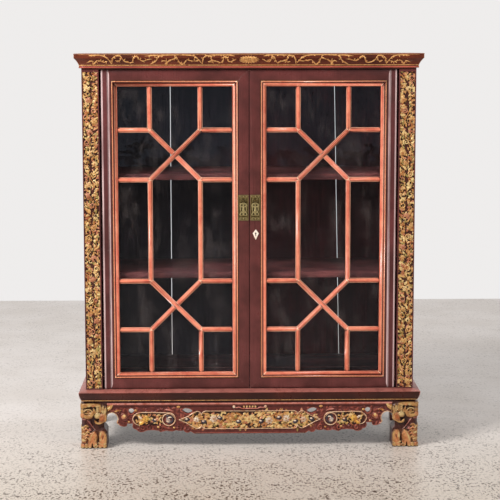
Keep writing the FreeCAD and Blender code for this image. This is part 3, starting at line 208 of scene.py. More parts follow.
def coral_finish():
    """Coral lacquer on the mouldings and the lattice: pale at its edges from wear and a painted
    highlight, and dark red in its grooves from painted shade.
    """
    gloss = {"roughness": 0.34, "coat_weight": 0.3, "coat_roughness": 0.18}
    made = Finish("coral_lacquer", (226, 132, 102), **gloss)
    made.coat(made.patches(26, 5, 0.65, 0.32, 0.68), (200, 92, 70))
    made.coat(made.patches(300, 3, 0.7, 0.45, 0.75, 0, 0.5), (238, 160, 124))
    # Edges are coated pale: partly wear, partly a painted highlight.
    rubbed_and_highlit = made.span(made.edges(0.0026), 0.84, 0.5)
    made.coat(made.times(rubbed_and_highlit, made.patches(45, 5, 0.7, 0.3, 0.5, 0.55, 1)), (255, 216, 180))
    # Painted shade: dark red in grooves and corners narrower than 7 mm.
    made.coat(made.span(made.hollows(0.007), 0.42, 0.9, 1.0, 0), (92, 18, 14))
    return made.done(made.noise(500, 4, 0.6), 0.0002, 0.5)


def carved_finish():
    """Carving in the piece's own paint and gilding, pale on its crests from wear of the gilding and
    a painted highlight, and darkened in its hollows by painted shade.
    """
    made = Finish("carved_gilt", roughness=0.4, metallic=0.2, coat_weight=0.1, coat_roughness=0.3)
    made.colour = made.attribute("paint", "Vector")
    fine, broad = made.noise(480, 5, 0.7), made.noise(70, 5, 0.65)
    made.coat(made.span(broad, 0.38, 0.68, 0, 0.75), (196, 132, 88), "MULTIPLY")
    made.coat(made.span(fine, 0.5, 0.7, 0, 0.55), (238, 208, 160), "OVERLAY")
    # Edges and crests are lightened: partly wear of the gilding, partly a painted highlight.
    made.coat(made.span(made.edges(0.0016), 0.66, 0.4, 0, 0.4), (255, 226, 170), "SCREEN")
    # Painted shade: hollows narrower than 10 mm are darkened.
    made.coat(made.span(made.hollows(0.01), 0.3, 0.85, 0.96, 0), (44, 16, 10))
    made.coat(made.patches(150, 5, 0.65, 0.58, 0.68, 0, 0.6), (112, 52, 36))
    return made.done(made.calc("ADD", fine, broad), 0.0005, 0.7)


def gilt_line_finish():
    """Gold paint in thin raised lines."""
    made = Finish("gilt_line", (240, 188, 120), roughness=0.38, metallic=0.3)
    wear = made.noise(160, 5, 0.7)
    made.coat(made.span(wear, 0.35, 0.68), (196, 128, 72))
    made.coat(made.patches(60, 3, 0.6, 0.6, 0.75, 0, 0.7), (120, 56, 34))
    return made.done(wear, 0.0002, 0.5)


def brass_finish():
    """Antique brass, olive and dull, brighter where a piece's paint says that it stands out."""
    made = Finish("brass", (118, 98, 56), metallic=0.75)
    patina = made.noise(120, 6, 0.7)
    made.coat(made.span(patina, 0.35, 0.68), (70, 57, 32))
    relief = made.times(made.attribute("paint", "Fac"), made.span(patina, 0.3, 0.5, 0.5, 1))
    made.coat(relief, (214, 196, 140))
    made.coat(made.span(made.hollows(0.0035), 0.3, 0.92, 0.95, 0), (30, 22, 12))
    made.set("Roughness", made.span(patina, 0.3, 0.7, 0.34, 0.55))
    return made.done(patina, 0.0002, 0.6)


def bone_finish():
    made = Finish(
        "bone",
        (244, 228, 214),
        roughness=0.45,
        subsurface_weight=0.1,
        subsurface_radius=(0.002, 0.0014, 0.001),
    )
    grain = made.noise(300, 4, 0.6, stretch=(1, 1, 0.12))
    made.coat(made.span(grain, 0.4, 0.7), (218, 190, 166))
    made.coat(made.span(made.hollows(0.002), 0.3, 0.9, 0.6, 0), (120, 70, 50))
    return made.done(grain, 0.0001, 0.5)


def iron_finish():
    made = Finish("iron", (86, 84, 82), metallic=0.85)
    rust = made.noise(140, 6, 0.7)
    made.coat(made.span(rust, 0.45, 0.65), (92, 56, 40))
    made.set("Roughness", made.span(rust, 0.35, 0.7, 0.4, 0.75))
    return made.done(rust, 0.0003, 0.6)


def wood_finish(name, tones, stretch=(1, 1, 0.04), outside=None):
    """Stained boards with their grain along them; outside gives the tones on the cabinet's back."""
    made = Finish(name, roughness=0.6, specular_ior_level=0.1)
    grain = made.noise(130, 6, 0.7, stretch=stretch, twist=0.6)
    streaks, clouds = made.span(grain, 0.38, 0.66), made.patches(7, 4, 0.6, 0.35, 0.65, 0, 0.8)

    def stain(tone, grain_tone, shade):
        made.colour = srgb(*tone)
        made.coat(streaks, grain_tone)
        made.coat(clouds, shade)
        return made.colour

    stained = stain(*tones)
    if outside:
        inner_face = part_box("back_board_2")[0].y
        behind = made.span(made.axis(made.place, "Y"), inner_face + 0.003, inner_face + 0.004)
        made.colour = made.mix(behind, stained, stain(*outside))
    return made.done(grain, 0.0006, 0.7)


def glass_finish():
    """Old window glass: slightly wavy, faintly smeared, and clear to the light of the lamps."""
    made = Finish(
        "glass",
        (230, 235, 240),
        roughness=0.0,
        transmission_weight=1.0,
        ior=1.3,
        specular_tint=srgb(222, 232, 255),
    )
    made.done(made.noise(14, 2, 0.5), 0.0012, 0.5)
    smears = made.patches(13, 6, 0.75, 0.48, 0.68, 0.002, 0.04, stretch=(1, 1, 0.45))
    film = made.add("ShaderNodeBsdfDiffuse", {"Color": srgb(168, 152, 146)})
    clear = made.add("ShaderNodeBsdfTransparent", {"Color": srgb(210, 212, 218)})
    shadow = made.add("ShaderNodeLightPath").outputs["Is Shadow Ray"]
    shown = made.shader
    for share, other in ((smears, film), (shadow, clear)):
        values = {0: share, 1: shown.outputs[0], 2: other.outputs[0]}
        shown = made.add("ShaderNodeMixShader", values)
    out = next(n for n in made.tree.nodes if n.type == "OUTPUT_MATERIAL")
    made.feed(out.inputs["Surface"], shown.outputs[0])
    return made.material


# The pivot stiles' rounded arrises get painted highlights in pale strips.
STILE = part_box("right_pivot_stile")
ARRIS_HIGHLIGHTS = [(STILE[0].x - 0.001, 0.0044), (STILE[1].x - 0.0025, 0.0044)]
ALONG_X = (0.04, 1, 1)
# Painted reflection: the boards behind the right door are stained red, and the dark wood is bluish,
# in place of the red and blue tints reflected in the doors' glass.
DARK_WOOD = (42, 38, 44), (62, 52, 58), (32, 32, 38)
SHELF_WOOD = (100, 54, 50), (134, 72, 66), (60, 34, 34)
FLOOR_WOOD = (50, 36, 36), (94, 52, 50), (38, 32, 35)
RED_REFLECTION_WOOD = (66, 30, 30), (92, 42, 42), (50, 24, 26)
BACK_STAIN = (66, 46, 41), (92, 66, 56), (50, 35, 32)
LACQUER = lacquer_finish("lacquer", (104, 54, 52), (72, 34, 32), (206, 150, 140))
STILE_LACQUER = lacquer_finish(
    "stile_lacquer", (100, 52, 52), (70, 34, 33), (214, 184, 182), highlight_bands=ARRIS_HIGHLIGHTS
)
BASE_LACQUER = lacquer_finish("base_lacquer", (72, 27, 19), (48, 17, 12), (202, 126, 114), 0.9, 0.5)
CORNICE_LACQUER = lacquer_finish(
    "cornice_lacquer", (112, 48, 28), (72, 28, 16), (214, 146, 104), 0.6, 0.3
)
RED_LINE = lacquer_finish("red_line", (184, 94, 78), (146, 62, 52), (238, 184, 160), 0.6)
CARVED = carved_finish()
GILT_LINE = gilt_line_finish()
SLOT_FINISHES = {
    "lacquer": LACQUER,
    "carved_gilt": LACQUER,
    "coral_lacquer": coral_finish(),
    "dark_wood": wood_finish("dark_wood", DARK_WOOD, outside=BACK_STAIN),
    "glass": glass_finish(),
    "brass": brass_finish(),
    "bone": bone_finish(),
    "iron": iron_finish(),
}
FRAME_STILES = tuple(f"{side}_{stile}_stile" for side, _ in SIDES for stile in ("pivot", "outer"))
# Nodes with a finish of their own, by how their names start.
OWN_FINISHES = {
    ("upper_shelf", "lower_shelf"): wood_finish("shelf_wood", SHELF_WOOD, ALONG_X),
    ("bottom_board", "back_rails"): wood_finish("floor_wood", FLOOR_WOOD, ALONG_X),
    ("back_board_3", "back_board_4"): wood_finish("red_reflection_wood", RED_REFLECTION_WOOD, outside=BACK_STAIN),
    ("plinth", "apron"): BASE_LACQUER,
    ("cornice",): CORNICE_LACQUER,
    FRAME_STILES: STILE_LACQUER,
}


def smoothing():
    """A node group that shades a mesh smooth except across sharp edges."""
    group = bpy.data.node_groups.new("smooth_by_angle", "GeometryNodeTree")
    group.is_modifier = True
    for way in ("INPUT", "OUTPUT"):
        group.interface.new_socket("Geometry", in_out=way, socket_type="NodeSocketGeometry")
    made = Nodes(group)
    angle = made.add("GeometryNodeInputMeshEdgeAngle").outputs["Unsigned Angle"]
    values = {0: angle, 1: math.radians(28)}
    flat = made.add("FunctionNodeCompare", values, operation="LESS_THAN")
    values = {"Geometry": made.add("NodeGroupInput").outputs[0]}
    faces = made.add("GeometryNodeSetShadeSmooth", values)
    values = {"Geometry": faces.outputs[0], "Shade Smooth": flat.outputs[0]}
    edges = made.add("GeometryNodeSetShadeSmooth", values, domain="EDGE")
    made.add("NodeGroupOutput", {0: edges.outputs[0]})
    return group


def finish_frame():
    """Gives every CAD node the finish of its slot, with softened edges."""
    slots = {part["node"]: part["material_slot"] for part in frame["record"]["subparts"]}
    smooth = smoothing()
    for name, node in NODES.items():
        slot = slots[name]
        material = SLOT_FINISHES[slot]
        for starts, own in OWN_FINISHES.items():
            if name.startswith(starts) and not name.endswith("beads"):
                material = own
        node.data.materials.clear()
        node.data.materials.append(material)
        node.modifiers.new("weld", "WELD").merge_threshold = 1e-6
        if slot != "glass":
            soft = node.modifiers.new("soft", "BEVEL")
            soft.width = 0.5 * MM if slot in ("coral_lacquer", "brass") else 0.9 * MM
            soft.segments = 2
            soft.limit_method = "ANGLE"
            soft.angle_limit = math.radians(35)
        node.modifiers.new("smooth", "NODES").node_group = smooth


# ---------------------------------------------------------------- carving tools


def tint(red, green, blue):
    """A colour for a carving's paint."""
    return srgb(red, green, blue)[:3]


GROUND = tint(78, 36, 28)
GOLD = tint(212, 166, 102)
PALE_GOLD = tint(232, 200, 138)
ROSE_GOLD = tint(196, 134, 100)
OCHRE = tint(180, 124, 66)
OLIVE = tint(160, 142, 78)
YELLOW = tint(232, 182, 84)
PEACH = tint(226, 158, 104)
ORANGE = tint(216, 142, 88)
SHADED_GOLD = tint(128, 76, 44)
CREAM = tint(232, 212, 188)
RIM_CREAM = tint(222, 188, 156)
STONE = tint(172, 158, 150)
SLATE = tint(62, 58, 70)
ROSE = tint(196, 128, 116)
MAROON = tint(96, 42, 38)
SHADE = tint(60, 30, 24)
FOLIAGE = GOLD, GOLD, PALE_GOLD, PALE_GOLD, OCHRE, ROSE_GOLD, OLIVE
RED_LEAVES = tint(124, 58, 48), tint(152, 80, 66), tint(108, 48, 42)


def mesh_parts(mesh):
    """A mesh's points and its faces."""
    points = np.array([vertex.co for vertex in mesh.vertices])
    return points, [tuple(face.vertices) for face in mesh.polygons]


def face_outline(name):
    """The loops round a node's largest front face, as (x, z) in millimetres; its y in metres."""
    mesh = NODES[name].data
    mesh.calc_loop_triangles()
    weld = 1e-6
    spots = np.round(mesh_parts(mesh)[0] / weld).astype(np.int64)
    spots, numbers = np.unique(spots, axis=0, return_inverse=True)
    points = spots * weld
    faces = numbers.reshape(-1)[np.array([t.vertices for t in mesh.loop_triangles])]
    corners = points[faces]
    normals = np.cross(corners[:, 1] - corners[:, 0], corners[:, 2] - corners[:, 0])
    area = np.linalg.norm(normals, axis=1)
    faces, corners, normals, area = (a[area > 1e-12] for a in (faces, corners, normals, area))
    front = normals[:, 1] / area < -0.999
    level = np.round(corners[:, :, 1].mean(1), 5)
    best = max(set(level[front]), key=lambda y: area[front & (level == y)].sum())
    shown = faces[front & (level == best)].tolist()
    edges = {(face[i], face[(i + 1) % 3]) for face in shown for i in range(3)}
    follow = {a: b for a, b in edges if (b, a) not in edges}
    loops = []
    while follow:
        start, here = follow.popitem()
        loop = [start, here]
        while loop[-1] != start:
            loop.append(follow.pop(loop[-1]))
        loops.append(points[loop[:-1]][:, (0, 2)] / MM)
    return loops, float(best)


def resampled(loop, step):
    """The same closed loop with points no further apart than step."""
    pieces = []
    for start, end in zip(loop, np.roll(loop, -1, 0)):
        count = max(1, math.ceil(np.linalg.norm(end - start) / step))
        pieces.append(start + (end - start) * (np.arange(count) / count)[:, None])
    return np.vstack(pieces)


def within(points, loops):
    """True for each point inside an odd number of loops."""
    odd = np.zeros(len(points), bool)
    x, z = points.T
    for loop in loops:
        for (xa, za), (xb, zb) in zip(loop, np.roll(loop, -1, 0)):
            if za != zb:
                odd ^= ((za > z) != (zb > z)) & (x < (xb - xa) * (z - za) / (zb - za) + xa)
    return odd


def to_line(points, line):
    """Distance from each point to a line, and how far along it that is from 0 to 1."""
    starts, runs = line[:-1], np.diff(line, axis=0)
    lengths = np.maximum(np.linalg.norm(runs, axis=1), 1e-9)
    marks = np.concatenate([[0], np.cumsum(lengths)])
    away = points[:, None] - starts[None]
    share = np.clip((away * runs).sum(2) / lengths**2, 0, 1)
    gap = away - share[..., None] * runs
    distance = np.linalg.norm(gap, axis=2)
    best = distance.argmin(1)
    rows = np.arange(len(points))
    along = (marks[best] + share[rows, best] * lengths[best]) / marks[-1]
    return distance[rows, best], along


def smooth_line(*corners, count=8):
    """A smooth line through a few points."""
    points = np.array(corners, float)
    points = np.vstack([2 * points[0] - points[1], points, 2 * points[-1] - points[-2]])
    t = np.linspace(0, 1, count, endpoint=False)[:, None]
    made = []
    for a, b, c, d in zip(points, points[1:], points[2:], points[3:]):
        bend = 2 * a - 5 * b + 4 * c - d + t * (3 * (b - c) + d - a)
        made.append(b + 0.5 * t * (c - a + t * bend))
    return np.vstack([*made, points[-2:-1]])


class Carving:
    """A carved face in millimetres: heights and paint over an outline, laid stroke by stroke."""

    def __init__(self, loops, step, ground=GROUND):
        self.rims = [resampled(loop, step) for loop in loops]
        rim = np.vstack(self.rims)
        low, high = rim.min(0), rim.max(0)
        across = np.arange(low[0] + step / 2, high[0], step)
        up = np.arange(low[1] + step / 2, high[1], step * 0.87)
        grid = np.stack(np.meshgrid(across, up), -1)
        grid[1::2, :, 0] += step / 2
        grid = grid.reshape(-1, 2)
        grid = grid[within(grid, self.rims)]
        fine = np.vstack([resampled(loop, step / 3) for loop in self.rims])
        tree = kdtree.KDTree(len(fine))
        for index, (x, z) in enumerate(fine):
            tree.insert((x, z, 0), index)
        tree.balance()
        gap = np.array([tree.find((x, z, 0))[2] for x, z in grid])
        grid, gap = grid[gap > step * 0.55], gap[gap > step * 0.55]
        self.points = np.vstack([rim, grid])
        self.edge = np.concatenate([np.zeros(len(rim)), gap])
        self.height = np.zeros(len(self.points))
        self.paint = np.tile(np.array(ground), (len(self.points), 1))
        # Painted shade: the paint of each form darkens from its crest to its rim.
        self.shade_fall = 1.0  # how fast the paint darkens from a form's crest to its rim

    def near(self, low, high):
        """The numbers of the points in a box."""
        x, z = self.points.T
        return np.flatnonzero((x > low[0]) & (x < high[0]) & (z > low[1]) & (z < high[1]))

    def lay(self, index, shape, height, base, paint):
        """Lays a form over what is there, with painted shade darkening its paint towards its rim;
        shape runs from 0 at the form's rim to 1 at its crest.
        """
        top = base + height * shape
        over = (shape > 0) & (top > self.height[index])
        self.height[index[over]] = top[over]
        if paint is not None:
            share = np.clip(shape[over], 0, 1)[:, None]
            # Painted shade: a form's paint is darkened towards its rim and brightened a little at
            # its crest.
            self.paint[index[over]] = np.array(paint) * (0.4 + 0.65 * share**self.shade_fall)

    def stroke(self, line, wide, height, base, paint, taper=(0.4, 0.4), vein=0.0, lift=0.3):
        """A rounded ridge along a line, wide in its middle, with a vein down it like a leaf's."""
        line = np.asarray(line, float)
        index = self.near(line.min(0) - wide, line.max(0) + wide)
        gap, along = to_line(self.points[index], line)
        swell = np.minimum(1, np.minimum(taper[0] + along / 0.3, taper[1] + (1 - along) / 0.3))
        share = gap / (wide / 2 * np.maximum(swell, 0.05))
        shape = np.where(share < 1, lift + (1 - lift) * np.sqrt(np.clip(1 - share**2, 0, 1)), 0)
        if vein:
            shape -= np.where(shape > 0, vein * np.exp(-((gap / (wide * 0.09)) ** 2)), 0)
            ribs = 0.5 + 0.5 * np.cos(along * 38 + gap * 1.6)
            shape -= np.where(shape > 0, vein * 0.35 * ribs * share, 0)
        self.lay(index, shape, height, base, paint)

    def leaf(self, x, z, long, wide, angle, height, base, paint, curl=0.5):
        """A pointed leaf from its stalk at x, z, curling to one side."""
        t = np.linspace(0, 1, 7)
        turn = math.radians(angle) + curl * t
        line = np.stack([x + long * t * np.cos(turn), z + long * t * np.sin(turn)], 1)
        self.stroke(line, wide, height, base, paint, taper=(0.3, 0.02), vein=0.3, lift=0.35)

    def spiral(self, x, z, radius, start, turn, wide, height, base, paint, shrink=0.15, hold=1.3):
        """A curl that winds in to a share of its radius; hold keeps it wide at first."""
        count = max(12, int(abs(turn) / 18))
        angle = np.radians(np.linspace(start, start + turn, count))
        reach = radius * (1 - (1 - shrink) * np.linspace(0, 1, count) ** hold)
        line = np.stack([x + reach * np.cos(angle), z + reach * np.sin(angle)], 1)
        self.stroke(line, wide, height, base, paint, taper=(0.9, 0.5))

    def oval(self, x, z, wide, tall, angle, reach):
        """The points round a turned oval's middle, and how far out each lies: 1 on its rim."""
        index = self.near((x - reach, z - reach), (x + reach, z + reach))
        away = self.points[index] - (x, z)
        c, s = math.cos(math.radians(angle)), math.sin(math.radians(angle))
        along, across = away[:, 0] * c + away[:, 1] * s, away[:, 1] * c - away[:, 0] * s
        return index, np.hypot(along / wide, across / tall)

    def ball(self, x, z, wide, tall, height, base, paint, angle=0.0):
        index, share = self.oval(x, z, wide, tall, angle, max(wide, tall))
        shape = np.where(share < 1, 0.2 + 0.8 * np.sqrt(np.clip(1 - share**2, 0, 1)), 0)
        self.lay(index, shape, height, base, paint)

    def pit(self, x, z, wide, tall, angle):
        """A hollow cut through to the ground between the forms, its paint darkened there as painted
        shade.
        """
        index, share = self.oval(x, z, wide, tall, angle, tall)
        cut = index[share < 1]
        self.height[cut] = np.minimum(self.height[cut], 0.5 + 2.0 * share[share < 1] ** 3)
        # Painted shade: the ground in the hollow is darkened.
        self.paint[cut] = np.array(GROUND) * 0.6

    def flower(self, x, z, radius, petals, height, base, paint):
        """Rounded petals in two rows round an ochre button."""
        index = self.near((x - radius, z - radius), (x + radius, z + radius))
        away = self.points[index] - (x, z)
        for row, (reach, rise) in enumerate(((1.0, 0.0), (0.62, 0.35))):
            distance = np.hypot(*away.T) / (radius * reach)
            angle = np.arctan2(away[:, 1], away[:, 0]) * petals / 2 + row * math.pi / 2
            lobe = np.abs(np.cos(angle))
            share = distance / (0.68 + 0.32 * lobe**0.6)
            shape = np.where(share < 1, 0.3 + 0.7 * np.sqrt(np.clip(1 - share**2, 0, 1)), 0)
            shape *= np.where(distance < 1, 0.62 + 0.38 * lobe, 1) * (0.75 + 0.25 * distance)
            self.lay(index, shape, height, base + rise * height, paint)
        self.ball(x, z, radius * 0.26, radius * 0.26, height * 0.6, base + height * 0.65, OCHRE)

    def soften(self, reach):
        """Rounds the carving down to its ground along its outline."""
        share = np.clip(self.edge / reach, 0, 1)
        self.height *= 0.25 + 0.75 * np.sqrt(1 - (1 - share) ** 2)

    def solid(self, front, back):
        """A closed form in millimetres: heights stand out of y = front, the back is at y = back."""
        rim_count = sum(len(rim) for rim in self.rims)
        edges, first = [], 0
        for rim in self.rims:
            edges += [(first + i, first + (i + 1) % len(rim)) for i in range(len(rim))]
            first += len(rim)

        def triangles(points):
            cut = geometry.delaunay_2d_cdt([Vector(p) for p in points], edges, [], 1, 1e-7)
            source = np.array([origin[0] for origin in cut[3]])
            faces = source[np.array(cut[2])]
            doubtful = (faces < rim_count).all(1)
            middles = points[faces[doubtful]].mean(1)
            keep = np.ones(len(faces), bool)
            keep[np.flatnonzero(doubtful)] = within(middles, self.rims)
            return faces[keep]

        x, z = self.points.T
        face = np.stack([x, front - self.height, z], 1)
        rear = np.stack([x[:rim_count], np.full(rim_count, back), z[:rim_count]], 1)
        count = len(face)
        walls = [(a, b, count + b, count + a) for a, b in edges]
        under = triangles(self.points[:rim_count])[:, (0, 2, 1)] + count
        faces = [*triangles(self.points).tolist(), *walls, *under.tolist()]
        return np.vstack([face, rear]), faces, np.vstack([self.paint, self.paint[:rim_count]])

    def slab(self, name, front, back, material=None):
        """The carving as a piece; front and back are in metres."""
        points, faces, paint = self.solid(front / MM, back / MM)
        return make_piece(name, points * MM, faces, material or CARVED, paint, 50)


def make_piece(name, points, faces, material, paint=None, sharp=None):
    """A mesh object with its faces turned outwards, and its paint if it has any."""
    mesh = bpy.data.meshes.new(name)
    mesh.from_pydata(np.asarray(points).tolist(), [], [tuple(face) for face in faces])
    if paint is not None:
        layer = mesh.attributes.new("paint", "FLOAT_VECTOR", "POINT")
        layer.data.foreach_set("vector", np.asarray(paint, np.float32).ravel())
    form = bmesh.new()
    form.from_mesh(mesh)
    bmesh.ops.recalc_face_normals(form, faces=form.faces)
    form.to_mesh(mesh)
    form.free()
    mesh.shade_smooth()
    if sharp:
        mesh.set_sharp_from_angle(angle=math.radians(sharp))
    mesh.materials.append(material)
    piece = bpy.data.objects.new(name, mesh)
    bpy.context.collection.objects.link(piece)
    return piece


def tube(line, radii, up, flat, sides):
    """Points and faces of a closed tube along a line in space, flattened along up."""
    line, up = np.asarray(line, float), np.asarray(up, float)
    radii = np.broadcast_to(radii, len(line))[:, None, None]
    ahead = np.gradient(line, axis=0)
    ahead /= np.linalg.norm(ahead, axis=1)[:, None]
    side = np.cross(ahead, up)
    side /= np.maximum(np.linalg.norm(side, axis=1), 1e-9)[:, None]
    rise = np.cross(side, ahead) * flat
    turn = np.arange(sides) * 2 * math.pi / sides
    cosine, sine = np.cos(turn)[None, :, None], np.sin(turn)[None, :, None]
    spokes = side[:, None] * cosine + rise[:, None] * sine
    rings = line[:, None] + radii * spokes
    faces = []
    for ring in range(len(line) - 1):
        for i in range(sides):
            a, b = ring * sides + i, ring * sides + (i + 1) % sides
            faces.append((a, b, b + sides, a + sides))
    last = (len(line) - 1) * sides
    faces += [tuple(range(sides))[::-1], tuple(range(last, last + sides))]
    return rings.reshape(-1, 3), faces


def joined(parts):
    """Several (points, faces) as one."""
    points, faces, first = [], [], 0
    for some, shapes in parts:
        points.append(some)
        faces += [tuple(first + i for i in shape) for shape in shapes]
        first += len(some)
    return np.vstack(points), faces


# ---------------------------------------------------------------- carved pieces


LEAF_COLUMN, LEAF_ROW = 8.5, 5.2  # millimetres from leaf to leaf, across and up


def scatter_leaves(carving, draw, low, high, gaps, lean, sizes, area=None, paints=FOLIAGE):
    """Leaves laid over each other, each of its own size, turn and paint, pointing as lean says.

    A share of them, gaps, is left out; sizes are the least and most of their length and width.
    """
    across = round((high[0] - low[0]) / LEAF_COLUMN)
    for z in np.arange(low[1], high[1], LEAF_ROW):
        for column in range(across):
            x = low[0] + (column + 0.5 + draw.uniform(-0.4, 0.4)) * (high[0] - low[0]) / across
            level = z + draw.uniform(-3, 3)
            long, wide = (draw.uniform(*span) for span in sizes)
            angle, curl = lean(x) + draw.normal(0, 32), draw.uniform(-0.9, 0.9)
            base, rise = draw.uniform(0.4, 2.2), draw.uniform(1.5, 2.4)
            paint = paints[draw.integers(len(paints))]
            inside = area is None or within(np.array([[x, level]]), area)[0]
            if draw.random() > gaps and inside:
                carving.leaf(x, level, long, wide, angle, rise, base, paint, curl)


def make_pilaster(side, seed):
    """A panel crowded with flowers and leaves on a winding stem, in the pilaster's sunk face."""
    draw = np.random.default_rng(seed)
    loops, face = face_outline(f"{side}_pilaster")
    low, high = loops[0].min(0) - (3.0, 2.0), loops[0].max(0) + (3.0, 6.0)
    panel = np.array([low, (high[0], low[1]), high, (low[0], high[1])])
    carving = Carving([panel], 0.85)
    carving.height += 0.5
    middle, sway, wave = (low[0] + high[0]) / 2, (high[0] - low[0]) * 0.25, 25.0
    flower_gap, hollows = 33.0, 170
    start = draw.uniform(0, 6)
    levels = np.arange(low[1], high[1] + 4, 4.0)
    stem = np.stack([middle + sway * np.sin(levels / wave + start), levels], 1)

    def lean(x):
        return 90 - math.copysign(48, x - middle)

    scatter_leaves(carving, draw, low, high, 0.06, lean, ((10, 16), (4.5, 7.5)))
    piece = 12
    for first in range(0, len(stem) - piece, piece):
        carving.stroke(stem[first : first + piece + 1], 3.2, 2.4, 0.8, OCHRE, (1, 1))
    for count, level in enumerate(np.arange(low[1] + 20, high[1] - 10, flower_gap)):
        other = middle - sway * 0.95 * math.sin(level / wave + start)
        paint = (GOLD, PALE_GOLD, ROSE_GOLD)[draw.integers(3)]
        if count % 3 == 2:
            turn = draw.choice((-1, 1))
            carving.spiral(other, level, 9, draw.uniform(0, 360), turn * 520, 3.6, 2.4, 2.6, paint)
        else:
            radius = draw.uniform(8.5, 11.5)
            carving.flower(other, level, radius, draw.integers(5, 9), 2.6, 2.4, paint)
    for _ in range(hollows):
        x, z = draw.uniform(low, high)
        carving.pit(x, z, *draw.uniform((1.4, 2.2, -50), (2.8, 4.8, 50)))
    carving.soften(1.4)
    piece = carving.slab(f"{side}_pilaster_carving", face, face + 4 * MM)
    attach(piece, "cabinet")


def mirrored(line, sign):
    return np.asarray(line, float) * (sign, 1)


# The small scrolls of an apron's side: across, up, radius, first angle and sweep.
SCROLLS = (
    (398, 100, 13, 200, 460),
    (420, 118, 9, 250, -400),
    (224, 62, 9, 60, 400),
    (284, 62, 7.5, 80, 400),
    (318, 66, 7, 100, -380),
    (388, 80, 8, 90, 400),
    (214, 121, 7, 200, 380),
    (340, 62, 7, 70, 380),
)
# Its gilt spots: across, up and half width.
GILT_SPOTS = (
    (398, 100, 5),
    (361, 120, 5),
    (226, 131, 6),
    (383, 84, 4),
    (290, 66, 4.5),
    (240, 64, 4),
    (424, 118, 4),
)


def cartouche_edge():
    """The pointed cartouche's outline on the apron's right half, from the top round to the foot."""
    top = smooth_line((140, 117), (149, 113), (153, 106), count=4)
    upper = (153, 106), (158, 113), (168, 116), (182, 109), (200, 98), (224, 89)
    lower = (224, 89), (203, 80), (184, 69), (168, 61), (157, 64), (152, 71)
    upper, lower = (smooth_line(*corners, count=6) for corners in (upper, lower))
    foot = smooth_line((152, 71), (148, 63), (139, 60), count=4)
    return np.vstack([[(0, 117)], top, upper[1:], lower[1:], foot[1:], [(0, 60)]])


def make_apron():
    """The pierced apron: a cartouche of fruit and flowers between volutes, under a rounded rail."""
    draw = np.random.default_rng(11)
    loops, face = face_outline("apron_front")
    low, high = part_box("apron_front")
    sunk = 6.0 * MM
    carving = Carving(loops, 0.95, MAROON)
    carving.height += 2.4
    edge = cartouche_edge()
    outline = np.vstack([edge, mirrored(edge[::-1], -1)])
    window = (276, 109), (346, 110), (365, 98), (362, 81), (347, 73), (300, 71), (278, 76)
    window = smooth_line(*window)

    small, large = ((9, 15), (4.5, 7)), ((11, 18), (5.5, 8.5))

    def lean(x):
        return 25 if x > 0 else 205

    for sign in (-1, 1):
        ends = sorted((sign * 178, sign * 440))
        spread = (ends[0], 48), (ends[1], 130)
        scatter_leaves(carving, draw, *spread, 0.25, lean, small, paints=RED_LEAVES)
    from_middle = np.abs(carving.points[:, 0])
    rim = (carving.edge < 3.2) & (from_middle > 176) & (carving.points[:, 1] < 128)
    carving.height[rim] = 4.6
    carving.paint[rim] = RED_LEAVES[1]
    carving.paint[rim & (from_middle > 414)] = RIM_CREAM
    for area in ([outline], [mirrored(window, 1)], [mirrored(window, -1)]):
        inside = within(carving.points, area)
        carving.height[inside] = 0.3
        carving.paint[inside] = SHADE
    scatter_leaves(carving, draw, (-212, 63), (212, 113), 0.14, lean, large, [outline])
    for spot, level, radius in ((0, 88, 15), (62, 84, 12), (118, 91, 12.5), (172, 88, 10)):
        for sign in (-1, 1) if spot else (1,):
            paint = (GOLD, CREAM, PALE_GOLD)[draw.integers(3)]
            at = sign * spot + draw.uniform(-4, 4), level + draw.uniform(-3, 3)
            carving.flower(*at, radius, draw.integers(6, 9), 3.2, 2.2, paint)
    for spot, level in ((33, 82), (92, 94), (145, 82), (196, 89)):
        for sign in (-1, 1):
            at = sign * spot + draw.uniform(-4, 4)
            carving.ball(at, level, 9, 6.5, 3.2, 2.6, SLATE, draw.uniform(-30, 30))
            # Painted highlight: a cream ball on the upper left of each slate fruit.
            carving.ball(at - 1.5, level + 2.5, 5, 3, 3.9, 2.6, CREAM)
    for sign in (-1, 1):
        draw_apron_side(carving, draw, sign)
        for part in np.array_split(np.arange(len(edge)), 6):
            line = edge[part[0] : part[-1] + 2]
            carving.stroke(mirrored(line, sign), 3.0, 2.6, 3.4, RIM_CREAM, (1, 1))

    def level_stroke(left, right, level, *form):
        carving.stroke([(left, level), (right, level)], *form)

    rail = high.z / MM
    level_stroke(-174, 174, low.z / MM + 3, 3.2, 1.4, 2.2, RED_LEAVES[1])
    # The rail is a maroon band with a narrower, higher rose stroke along its crest, a painted
    # highlight.
    for centre, wide, rise, paint in ((6.5, 14, 3.2, MAROON), (5.0, 7.5, 3.8, ROSE)):
        level_stroke(low.x / MM, high.x / MM, rail - centre, wide, rise, 3.0, paint, (1, 1))
    level_stroke(-27, 27, rail - 21, 5.0, 3.0, 3.4, ROSE, (0.5, 0.5))
    corners = (25, rail - 21), (33, rail - 17), (44, rail - 18), (54, rail - 12)
    bracket = smooth_line(*corners, count=5)
    for sign in (-1, 1):
        carving.stroke(mirrored(bracket, sign), 4.6, 3.0, 3.6, ROSE)
        carving.ball(sign * 50, rail - 15, 4.5, 5.5, 3.0, 4.4, CREAM)
    for x in (-18, -9, 0, 9, 18):
        carving.ball(x, rail - 15, 3.2, 3.8, 2.6, 3.8, PALE_GOLD, draw.uniform(-30, 30))
    carving.soften(1.6)
    piece = carving.slab("apron_carving", face + sunk, high.y)
    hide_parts("apron_front")
    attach(piece, "cabinet")


